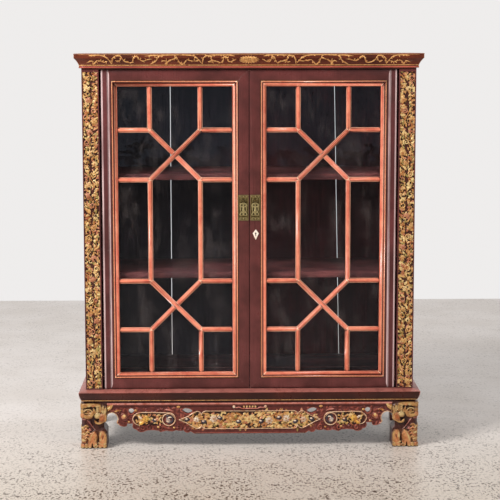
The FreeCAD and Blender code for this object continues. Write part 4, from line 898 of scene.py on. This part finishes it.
def draw_apron_side(carving, draw, sign):
    """One side of the apron: the volute, its long curl with leaves inside, the small scrolls."""

    def turned(angle):
        return angle if sign > 0 else 180 - angle

    def leaf(x, z, long, wide, angle, height, base, paint, curl):
        carving.leaf(sign * x, z, long, wide, turned(angle), height, base, paint, curl * sign)

    def ball(x, z, wide, tall, height, base, paint, angle=0):
        carving.ball(sign * x, z, wide, tall, height, base, paint, angle * sign)

    def spiral(x, z, radius, start, turn, *form):
        carving.spiral(sign * x, z, radius, turned(start), turn * sign, *form)

    leaves_in_curl = 64
    for _ in range(leaves_in_curl):
        x, z = draw.uniform(282, 360), draw.uniform(75, 106)
        size, paint = draw.uniform((9, 4), (14, 6.5)), FOLIAGE[draw.integers(len(FOLIAGE))]
        angle, rise, base = draw.uniform((0, 1.4, 0.8), (360, 2.4, 2.6))
        carving.leaf(sign * x, z, *size, angle, rise, base, paint)
    carving.flower(sign * 331, 92, 12, 6, 3.2, 2.6, YELLOW)
    leaf(336, 86, 19, 9, -70, 3.0, 2.6, YELLOW, 0.6)
    ball(302, 87, 8, 6, 3.2, 2.2, SLATE, 20)
    # Painted highlight on the slate fruit.
    ball(300, 90, 4.5, 3, 3.9, 2.2, CREAM)
    leaf(352, 100, 14, 6, 200, 2.6, 2.4, CREAM, 0.4)
    curl = (348, 72), (362, 77), (371, 92), (363, 106), (346, 113), (300, 113), (258, 112)
    carving.stroke(mirrored(smooth_line(*curl), sign), 3.2, 3.2, 3.4, RIM_CREAM, (0.5, 1))
    ball(257, 91, 22, 22, 1.2, 1.6, MAROON)
    spiral(257, 91, 21, 90, 430, 3.8, 3.2, 3.2, RIM_CREAM, 0.8, 3.0)
    spiral(256, 89, 13, 60, 400, 5.6, 2.2, 2.4, SLATE, 0.5)
    ball(259, 87, 8.5, 7.5, 3.6, 3.0, STONE, 30)
    for x, z, long, angle, paint in (
        (455, 126, 30, 163, PALE_GOLD),
        (455, 119, 27, 158, GOLD),
        (454, 132, 24, 172, OCHRE),
    ):
        leaf(x, z, long, 7.5, angle, 3.2, 3.6, paint, -0.3)
    ball(399, 101, 11, 10, 3.4, 2.6, ROSE_GOLD, 20)
    # Painted highlight on the rose gold ball.
    ball(397, 104, 6, 5, 4.0, 2.9, PALE_GOLD, 20)
    # Painted highlight on the volute's stone ball.
    ball(260, 85, 5.0, 4.0, 3.6, 3.6, CREAM, 30)
    leaf(248, 97, 12, 5, 20, 2.4, 3.0, CREAM, -0.6)
    for x, z, radius, start, sweep in SCROLLS:
        paint = RED_LEAVES[draw.integers(len(RED_LEAVES))]
        spiral(x, z, radius, start, sweep, 4.2, 2.8, 3.2, paint, 0.2)
    for x, z, wide in GILT_SPOTS:
        ball(x, z, wide, wide * 0.75, 2.8, 3.6, GOLD)
    leaf(408, 120, 22, 7, 15, 2.8, 3.2, OCHRE, -0.4)
    leaf(268, 122, 26, 6, 175, 2.4, 3.4, ROSE, 0.3)


FOOT_PAINTS = GOLD, PALE_GOLD, PEACH, OCHRE
# The locks down the back of a foot: across, up and half width. The claws: across, width and paint.
MANE = (
    (64, 71, 10), (78, 65, 9), (62, 61, 8), (76, 55, 10), (61, 51, 8),
    (77, 45, 9), (63, 41, 9), (78, 35, 9), (62, 31, 9), (76, 25, 9),
)
CLAWS = (7, 7.5, GOLD), (20, 8.5, PEACH), (53, 7.5, PEACH), (64, 7, GOLD), (76, 8, PEACH)
FOOT_DEPTH, FOOT_TONE = 9.4, 0.72  # how far the relief stands out, and how much darker its paint is


def carve_foot(carving, draw):
    """A lion's mask, a bare neck and a clawed paw on a foot's face, from its inner side and up."""
    ball, pit = carving.ball, carving.pit

    def ridge(corners, wide, height, base, paint, taper=(0.5, 0.5)):
        carving.stroke(smooth_line(*corners, count=6), wide, height, base, paint, taper)

    # Broad base masses in shaded gold: a painted shade for the gilding where it shows between the
    # forms.
    ball(60, 114, 30, 20, 3.5, -1.0, SHADED_GOLD)
    ball(20, 116, 25, 25, 3.5, -1.0, SHADED_GOLD)
    ball(36, 28, 44, 30, 3.0, -1.0, SHADED_GOLD)
    ridge(((66, 98), (62, 80), (52, 58)), 32, 4.2, -4.4, MAROON, (0.8, 0.8))
    ridge(((65, 93), (53, 83), (42, 71), (33, 57)), 3.2, 2.2, -0.6, ROSE)
    ridge(((18, 88), (24, 72), (30, 58)), 22, 2.6, -5.0, GROUND, (0.8, 0.8))
    for x, z, long, angle, paint in (
        (33, 111, 22, 52, GOLD),
        (27, 113, 25, 74, PALE_GOLD),
        (20, 114, 26, 92, GOLD),
        (14, 113, 26, 110, PALE_GOLD),
        (9, 109, 25, 130, PALE_GOLD),
        (7, 102, 20, 152, GOLD),
    ):
        carving.leaf(x, z, long, 8.5, angle, 3.2, 4.2, paint, draw.uniform(-0.5, 0.5))
    ridge(((22, 138), (50, 140), (84, 138)), 11, 3.4, 4.4, GOLD, (0.8, 1))
    for x, z, paint in (
        (29, 137, PALE_GOLD),
        (41, 138, PEACH),
        (54, 138, PALE_GOLD),
        (66, 136, GOLD),
        (77, 133, GOLD),
    ):
        ball(x, z, 7.5, 5.4, 1.8, 6.2, paint, draw.uniform(-15, 15))
    ball(57, 118.5, 7, 4.6, 3.0, 3.4, OCHRE)
    ridge(((45, 117), (51, 124.5), (62, 125.5), (71, 119)), 4.6, 2.6, 5.4, PALE_GOLD)
    ridge(((46, 116), (56, 111.5), (69, 114)), 4.4, 2.4, 5.2, GOLD)
    ridge(((70, 103), (59, 102), (48, 106), (42, 118)), 12.5, 4.6, 3.6, GOLD, (0.8, 0.6))
    ridge(((68, 97.5), (56, 96), (45, 100)), 3.6, 2.2, 4.2, PEACH)
    ball(78, 119, 8, 8, 4.0, 4.0, GOLD)
    ball(77, 106, 9, 9.5, 4.6, 4.0, PEACH)
    # Painted highlight: a rose stroke along the lip.
    ridge(((86, 96), (78, 93.5), (69, 95)), 4.4, 2.4, 1.6, ROSE)
    ball(13, 97, 14, 16, 6.4, 2.4, PEACH)
    ball(28, 105, 11, 10.5, 5.4, 3.6, PALE_GOLD, -15)
    ball(15, 96, 8, 10, 0.7, 8.3, ORANGE)
    ridge(((37, 89), (28, 82), (15, 80), (4, 88)), 6.5, 3.4, 3.6, GOLD)
    ridge(((3, 86), (2, 100), (5, 113)), 5.5, 2.6, 5.4, GOLD)
    pit(27.5, 92, 3.0, 4.6, 30)
    ball(68, 44, 22, 34, 2.2, -1.2, MAROON)
    for row, (x, z, reach) in enumerate(MANE):
        paint = FOOT_PAINTS[row % len(FOOT_PAINTS)]
        tilt = draw.uniform(-2.5, 2.5)
        lock = (x - reach, z - 4 - tilt), (x, z + 2), (x + reach, z - 4 + tilt)
        ridge(lock, 6, 4.2, 1.8, paint, (0.3, 0.5))
        ball(x + draw.uniform(-4, 4), z - 4.5, 3.4, 2.8, 2.6, 1.8, PEACH)
    ball(51, 60, 5, 5.5, 3.8, 2.0, ROSE)
    ridge(((38, 54), (43, 36), (47, 14)), 29, 5.6, 2.2, PEACH, (0.15, 0.9))
    ridge(((40, 53), (50, 38), (55, 20)), 7, 2.4, 5.4, PALE_GOLD, (0.3, 0.4))
    ridge(((35, 44), (36, 32), (35, 20)), 6, 2.0, 5.8, GOLD, (0.3, 0.3))
    ridge(((14, 46), (12.5, 32), (14, 12)), 27, 6.0, 2.2, PEACH, (0.75, 0.9))
    ridge(((18, 52), (20.5, 38), (20, 22)), 6.5, 2.4, 5.8, PALE_GOLD, (0.4, 0.3))
    ridge(((7, 51), (3.5, 36), (5, 18)), 7.5, 2.2, 5.6, GOLD, (0.4, 0.3))
    pit(12, 36, 0.9, 8, 8)
    pit(27, 34, 1.6, 19, -6)
    ridge(((2, 17), (13, 13), (27, 18)), 6, 2.4, 5.8, PALE_GOLD)
    ridge(((31, 17), (40, 14), (47, 18)), 5, 2.2, 5.2, PEACH)
    for x, wide, paint in CLAWS:
        ball(x, 7, wide, 9, 4.8, 3.4, paint)
        ball(x + 1, 3.4, wide * 0.6, 3.6, 1.4, 7.6, PALE_GOLD)
    ball(36, 6, 9, 8, 3.0, 3.2, OCHRE)
    carving.spiral(36, 7, 6.5, 90, 480, 3.4, 2.4, 5.4, PALE_GOLD)
    pit(46, 8, 1.7, 9, 0)


def around(z, level, reach):
    """1 near a level and 0 well above and below it, for the foot's neck."""
    return np.exp(-(((z - level) / reach) ** 4))


def foot_form(name):
    """A front foot's mesh and paint, in millimetres from its inner side, its face and the floor."""
    low, high = (np.array(corner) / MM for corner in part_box(name))
    wide, tall = high[0] - low[0], high[2]
    rim = wide - 6
    carving = Carving([np.array([(0, 0), (rim, 0), (rim, tall), (0, tall)])], 1.0)
    # Steeper painted shade towards the rims of the foot's forms.
    carving.shade_fall = 2.2
    x, z = carving.points.T
    carving.height -= 1.5 + 4.5 * around(z, 76, 14)
    carve_foot(carving, np.random.default_rng(5))
    rounded_corner = np.clip((x - wide + 15) / 9, 0, 1) ** 2
    carving.height = np.clip(carving.height - 4.0 * rounded_corner, -7, FOOT_DEPTH - 0.3)
    carving.paint *= FOOT_TONE
    points, faces, paint = carving.solid(FOOT_DEPTH, FOOT_DEPTH + 10)
    beside = np.stack([wide - points[:, 1], wide - points[:, 0], points[:, 2]], 1)
    shrink = 1 - (FOOT_DEPTH + 2) / wide
    core, core_faces = mesh_parts(NODES[name].data)
    core = core / MM - (low[0], low[1], 0)
    core[:, 0] *= shrink
    core[:, 1] = wide + (core[:, 1] - wide) * shrink
    parts = (points, faces), (beside, faces), (core, core_faces)
    rough = make_piece("foot_form", *joined(parts), CARVED)
    remesh = rough.modifiers.new("skin", "REMESH")
    remesh.mode, remesh.voxel_size = "VOXEL", 0.9
    rough.modifiers.new("soft", "SMOOTH").iterations = 3
    evaluated = rough.evaluated_get(bpy.context.evaluated_depsgraph_get())
    spots, skin_faces = mesh_parts(bpy.data.meshes.new_from_object(evaluated))
    bpy.data.objects.remove(rough)
    shown, shapes = joined(parts[:2])
    tree = bvhtree.BVHTree.FromPolygons(shown.tolist(), shapes)
    paints = np.vstack([paint, paint])
    tints = np.array([paints[list(shape)].mean(0) for shape in shapes])
    coat = np.tile(np.array(GROUND), (len(spots), 1))
    reach = 2.5
    for index, spot in enumerate(spots):
        _, _, face, _ = tree.find_nearest(spot.tolist(), reach)
        if face is not None:
            coat[index] = tints[face]
    spots[:, 0] = wide - (wide - spots[:, 0]) * (1 - 0.1 * around(spots[:, 2], 72, 13))
    spots = np.clip(spots, 0, (wide, wide, tall))
    return spots, skin_faces, coat


def make_foot(side, sign, form):
    """A front foot: its form, carved alike on its two outer faces."""
    name = f"front_{side}_foot"
    low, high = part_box(name)
    points, faces, paint = form
    inner = low.x if sign > 0 else -high.x
    x, y, z = points.T * MM
    place = np.stack([sign * (x + inner), y + low.y, z], 1)
    piece = make_piece(f"{name}_carving", place, faces, CARVED, paint)
    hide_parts(name)
    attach(piece, "cabinet")


# ---------------------------------------------------------------- gilt lines


def face_depths(name, levels):
    """Where a node's front lies at each level, on the cabinet's middle plane, in millimetres."""
    points, faces = mesh_parts(NODES[name].data)
    tree = bvhtree.BVHTree.FromPolygons(points.tolist(), faces)
    hits = [tree.ray_cast(Vector((0, -1, level * MM)), Vector((0, 1, 0)))[0] for level in levels]
    return np.array([hit.y for hit in hits]) / MM


# The scrolls on the cornice's right half: out from the middle in millimetres, and up from 0 to 1.
VINE = (
    ((494, 0.89), (478, 0.95), (450, 0.89), (434, 0.57), (423, 0.06)),
    ((500, 0.2), (484, 0.38), (478, 0.08), (469, 0.38), (456, 0.38), (447, 0.25), (436, 0.38)),
    ((423, 0.06), (420, 0.57), (412, 0.86), (396, 0.86), (385, 0.4), (368, 0.2), (358, 0.29)),
    (
        *((358, 0.29), (357, 0.57), (352, 0.8), (343, 0.77)),
        *((335, 0.49), (325, 0.38), (311, 0.54), (297, 0.57)),
    ),
    ((396, 0.7), (396, 0.5), (404, 0.32), (411, 0.45)),
    ((321, 0.86), (292, 0.93), (276, 0.92), (280, 0.72), (289, 0.34), (307, 0.02)),
    ((276, 0.92), (254, 0.96), (210, 0.98), (179, 0.92), (163, 0.72), (144, 0.06)),
    ((271, 0.3), (261, 0.4), (254, 0.02), (255, 0.63)),
    (
        *((254, 0.15), (245, 0.43), (232, 0.61), (222, 0.66)),
        *((216, 0.29), (207, 0.03), (198, 0.23), (192, 0.52)),
    ),
    ((192, 0.52), (179, 0.4), (161, 0.38), (154, 0.5)),
    ((144, 0.06), (142, 0.57), (135, 0.84), (120, 0.86), (114, 0.46), (100, 0.34), (87, 0.17)),
    ((119, 0.63), (112, 0.3), (127, 0.3)),
    ((87, 0.17), (81, 0.4), (78, 0.72), (70, 0.75), (65, 0.4), (57, 0.29), (40, 0.57)),
    ((122, 0.93), (90, 0.98), (62, 0.95), (44, 0.86)),
)


# The rosette's rings of petals: how many, half width, half height and how fat.
ROSETTE = (19, 31.0, 12.5, 2.1), (13, 21.0, 9.0, 2.3), (8, 11.0, 5.0, 2.2)


def make_vine():
    """Gold scrolls out from a rosette along the cornice, between gold lines and over a red bead."""
    draw = np.random.default_rng(21)
    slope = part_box("cornice_front")
    levels = np.arange(slope[0].z / MM + 0.5, slope[1].z / MM - 0.5, 0.5)
    depths = face_depths("cornice_front", levels)
    foot, head = slope[0].z / MM + 10.5, slope[1].z / MM - 4.2
    parts = []

    def paint_line(flat, wide):
        level = np.clip(flat[:, 1], foot - 3, head + 1)
        inside_box = slope[0].y / MM + 0.46 * np.asarray(wide)
        depth = np.maximum(np.interp(level, levels, depths), inside_box)
        parts.append(tube(np.stack([flat[:, 0], depth, level], 1), wide, (0, -0.9, -0.25), 0.4, 6))

    def leaf(spot, angle, long, wide):
        share = np.linspace(0, 1, 6)
        turn = angle + draw.choice((-0.8, 0.8)) * share
        flat = spot + long * share[:, None] * np.stack([np.cos(turn), np.sin(turn)], 1)
        paint_line(flat, 0.25 + wide * np.sin(share * math.pi) ** 0.8)

    for sign in (-1, 1):
        for corners in VINE:
            flat = smooth_line(*corners, count=7)
            flat = np.stack([sign * flat[:, 0], foot + flat[:, 1] * (head - foot)], 1)
            share = np.linspace(0, 1, len(flat))
            swell = 0.7 + 0.6 * np.sin(share * math.pi * len(corners) / 2) ** 2
            taper = np.clip(0.4 + 8 * np.minimum(share, 1 - share), 0, 1)
            paint_line(flat, 1.75 * swell * taper)
            steps = np.diff(flat, axis=0)
            for index in range(3, len(steps) - 2, 4):
                along = math.atan2(steps[index, 1], steps[index, 0])
                side = draw.choice((-1, 1))
                angle = along + side * draw.uniform(0.7, 1.3)
                leaf(flat[index], angle, draw.uniform(4, 8), draw.uniform(1.1, 1.7))
    middle = np.array([0, (foot + head) / 2])
    share = np.linspace(0, 1, 9)
    for count, wide, tall, fat in ROSETTE:
        for angle in np.arange(count) * 2 * math.pi / count:
            tip = wide * math.cos(angle), tall * math.sin(angle)
            petal = middle + (0.35 + 0.65 * share[:, None]) * tip
            paint_line(petal, 0.4 + fat * np.sin(share * math.pi))
    paint_line(middle + share[:, None] * (7, 0) - (3.5, 0), 2.6 * np.sin(share * math.pi) + 0.4)
    end = -slope[0].x / MM - 15
    for up, radius in ((foot - 1.6, 1.2), (head + 0.6, 0.7)):
        line = np.stack([np.linspace(-end, end, 60), np.full(60, up)], 1)
        paint_line(line, radius)
    finish_lines("cornice_gilding", parts, "cabinet")
    bead = slope[0].z / MM + 3.0
    out = np.interp(bead, levels, depths) + 1.2
    line = [(x, out, bead) for x in np.linspace(-end + 2.5, end - 2.5, 60)]
    points, faces = tube(line, 2.6, (0, -1, 0), 0.8, 8)
    piece = make_piece("cornice_bead", points * MM, faces, RED_LINE)
    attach(piece, "cabinet")


def finish_lines(name, parts, body):
    """Gold lines as one piece on a body."""
    points, faces = joined(parts)
    piece = make_piece(name, points * MM, faces, GILT_LINE)
    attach(piece, body)


def make_base_line():
    """The thin gold line round the foot of the plinth's face."""
    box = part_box("plinth_front")
    level = box[0].z / MM + 7.4
    deep = face_depths("plinth_front", [level])[0]
    x = box[1].x / MM - (deep - box[0].y / MM)
    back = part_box("plinth_right")[1].y / MM - 1
    line = [(t, deep, level) for t in np.linspace(-x, x, 40)]
    radius, form = 1.1, (0.5, 6)
    parts = [tube(line, radius, (0, -1, 0), *form)]
    for sign in (-1, 1):
        line = [(sign * x, y, level) for y in np.linspace(deep, back, 20)]
        parts.append(tube(line, radius, (sign, 0, 0), *form))
    finish_lines("plinth_gilding", parts, "cabinet")


def make_moulding_lines(side):
    """A gold line along the outer bead of the moulding round a door's glass."""
    low, high = (np.array(corner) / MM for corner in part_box(f"{side}_moulding"))
    inset, radius = 0.9, 0.55
    left, foot, right, head = low[0] + inset, low[2] + inset, high[0] - inset, high[2] - inset
    corners = [(left, foot), (right, foot), (right, head), (left, head)]
    parts = []
    for start, end in zip(corners, corners[1:] + corners[:1]):
        flat = np.linspace(start, end, 24)
        line = np.stack([flat[:, 0], np.full(24, low[1] + 0.25), flat[:, 1]], 1)
        parts.append(tube(line, radius, (0, -1, 0), 0.8, 6))
    finish_lines(f"{side}_moulding_gilding", parts, f"{side}_door")


# ---------------------------------------------------------------- brass


CHASING_BACK = 0.2 * MM  # how far the chased faces reach into the brass


def brass_carving(name, step):
    """A brass piece's face, its corners and its y in metres."""
    loops, face = face_outline(name)
    box = np.vstack(loops)
    return Carving(loops, step), box.min(0), box.max(0), face


def make_plate(side):
    """Raised rim, pins and engraved scrolls on a pull's plate, clear of where its pendant hangs."""
    carving, low, high, face = brass_carving(f"{side}_pull_plate", 0.5)
    middle = (low + high) / 2
    foot, top = (corner.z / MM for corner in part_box(f"{side}_pull_pendant"))
    carving.height += 0.08
    carving.height[carving.edge < 1.7] = 0.55
    carving.height[(carving.edge > 2.3) & (carving.edge < 3.1)] = 0.16
    for z, way in ((high[1] - 7, 1), (low[1] + 7.5, -1)):
        for turn in (-1, 1):
            x = middle[0] + turn * 6.5
            carving.spiral(x, z, 4.2, 90 * way, -turn * way * 420, 1.5, 0.4, 0.1, None)
        carving.ball(middle[0], z + way * 1.5, 2.2, 3.2, 0.6, 0.1, None)
    for x in (low[0] + 4.6, high[0] - 4.6):
        for z in (low[1] + 4.6, high[1] - 4.6):
            carving.ball(x, z, 1.5, 1.5, 0.8, 0.1, None)
    behind = (carving.points[:, 1] < top) & (carving.points[:, 1] > foot) & (carving.edge > 2.0)
    carving.height[behind] = np.minimum(carving.height[behind], 0.12)
    carving.paint[:] = np.clip(carving.height - 0.1, 0, 0.5)[:, None]
    name = f"{side}_pull_plate_chasing"
    piece = carving.slab(name, face, face + CHASING_BACK, SLOT_FINISHES["brass"])
    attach(piece, f"{side}_door")


def make_pendant(side):
    """Domed and chased face of a pendant pull."""
    carving, low, high, face = brass_carving(f"{side}_pull_pendant", 0.4)
    share = np.clip(carving.edge / 1.3, 0, 1)
    carving.height = 0.1 + 0.5 * np.sqrt(1 - (1 - share) ** 2)
    middle = (low[0] + high[0]) / 2
    pin = high[1]
    for level, wide, tall, rise in ((pin - 23, 2.6, 3.4, 0.9), (pin - 30.5, 3.4, 4.0, 1.1)):
        carving.ball(middle, level, wide, tall, rise, 0.3, None)
    for level in (low[1] + 2.4, low[1] + 5.0):
        carving.stroke([(low[0] + 2, level), (high[0] - 2, level)], 1.1, 0.35, 0.5, None, (1, 1))
    near_pin = carving.points[:, 1] > pin - 6
    carving.height[near_pin] = np.minimum(carving.height[near_pin], 0.15)
    carving.paint[:] = np.clip(carving.height, 0, 0.6)[:, None]
    name = f"{side}_pull_pendant_chasing"
    piece = carving.slab(name, face, face + CHASING_BACK, SLOT_FINISHES["brass"])
    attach(piece, f"{side}_pendant")


# ---------------------------------------------------------------- stage


def make_stage():
    """Pale floor that ends where the wall stood, and a pale world in place of the wall."""
    reach, wall = 14.0, 2.76
    mesh = bpy.data.meshes.new("floor")
    corners = [(-reach, -reach, 0), (reach, -reach, 0), (reach, wall, 0), (-reach, wall, 0)]
    mesh.from_pydata(corners, [], [(0, 1, 2, 3)])
    floor = bpy.data.objects.new("floor", mesh)
    bpy.context.collection.objects.link(floor)
    made = Finish("floor", (180, 167, 151), roughness=0.4)
    # Painted light: the floor is paler towards the back, in place of the wall's light reflected
    # across it.
    back = made.span(made.axis(made.place, "Y"), -1.1, 0.6)
    made.coat(back, (218, 211, 206))
    made.coat(made.patches(3, 5, 0.6, 0.3, 0.7, 0, 0.5), (190, 180, 170))
    crowd = made.patches(9, 4, 0.6, 0.35, 0.62, 0.25, 1)
    crowd = made.times(crowd, made.span(back, 0, 1, 1, 0.2))
    for scale, low, high in ((70, 0.56, 0.6), (140, 0.54, 0.59)):
        specks = made.patches(scale, 3, 0.6, low, high, stretch=(1, 0.6, 1))
        made.coat(made.times(specks, crowd), (70, 54, 40))
    made.set("Base Color", made.colour)
    mesh.materials.append(made.material)
    floor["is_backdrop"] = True


def make_world():
    """Even light, seen as a pale wall; what faces the room mirrors a darker studio."""
    world = bpy.data.worlds.new("studio")
    bpy.context.scene.world = world
    world.use_nodes = True
    world.node_tree.nodes.clear()
    made = Nodes(world.node_tree)
    wall = 0.86
    path = made.add("ShaderNodeLightPath").outputs
    way = made.axis(made.add("ShaderNodeTexCoord").outputs["Generated"], "Y")
    lighting = made.span(way, 0.1, 0.6, 0.5, wall, "LINEAR")
    mirrored_room = made.span(way, -0.3, 0.2, 0.05, wall, "LINEAR")
    seen = made.calc("MAXIMUM", path["Is Camera Ray"], path["Is Transmission Ray"])
    values = {0: path["Is Glossy Ray"], 2: lighting, 3: mirrored_room}
    strength = made.add("ShaderNodeMix", values).outputs[0]
    strength = made.add("ShaderNodeMix", {0: seen, 2: strength, 3: wall}).outputs[0]
    values = {"Color": srgb(255, 253, 252), "Strength": strength}
    light = made.add("ShaderNodeBackground", values).outputs[0]
    made.add("ShaderNodeOutputWorld", {"Surface": light})


def make_lamp(name, place, aim, size, power):
    data = bpy.data.lights.new(name, "AREA")
    data.shape, data.size, data.size_y = "RECTANGLE", *size
    data.energy = power
    lamp = bpy.data.objects.new(name, data)
    lamp.location = place
    lamp.rotation_euler = (Vector(aim) - Vector(place)).to_track_quat("-Z", "Y").to_euler()
    bpy.context.collection.objects.link(lamp)


def make_camera():
    """The photograph's viewpoint: a long lens, a little above the top and left of the middle."""
    lens, sensor = 113.2, 36.0
    place = -0.0907, -5.0654, 1.2572
    pitch, yaw, roll = 0.1276, 0.0189, -0.0015
    data = bpy.data.cameras.new("camera")
    data.lens, data.sensor_width = lens, sensor
    level = math.cos(pitch)
    ahead = Vector((math.sin(yaw) * level, math.cos(yaw) * level, -math.sin(pitch)))
    right = Vector((math.cos(yaw), -math.sin(yaw), 0))
    up = right.cross(ahead)
    c, s = math.cos(roll), math.sin(roll)
    right, up = right * c + up * s, up * c - right * s
    camera = bpy.data.objects.new("camera", data)
    turn = Matrix((right, up, -ahead)).transposed().to_4x4()
    camera.matrix_world = Matrix.Translation(place) @ turn
    bpy.context.collection.objects.link(camera)
    bpy.context.scene.camera = camera


finish_frame()
make_pilaster("left", 3)
make_pilaster("right", 8)
make_apron()
make_vine()
make_base_line()
FOOT_FORM = foot_form("front_right_foot")
for side, sign in SIDES:
    make_foot(side, sign, FOOT_FORM)
    make_moulding_lines(side)
    make_plate(side)
    make_pendant(side)
make_stage()
make_world()
make_lamp("key", (-3.0, -2.7, 3.5), aim=(0, 0, 0.6), size=(1.6, 1.4), power=285)
make_lamp("fill", (3.0, -2.6, 2.2), aim=(0, 0, 0.7), size=(1.6, 1.6), power=44)
make_camera()
bpy.context.scene.view_settings.view_transform = "Standard"

size = {"cad": CAD_BOX, "visual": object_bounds()}
size = {name: [list(corner) for corner in box] for name, box in size.items()}
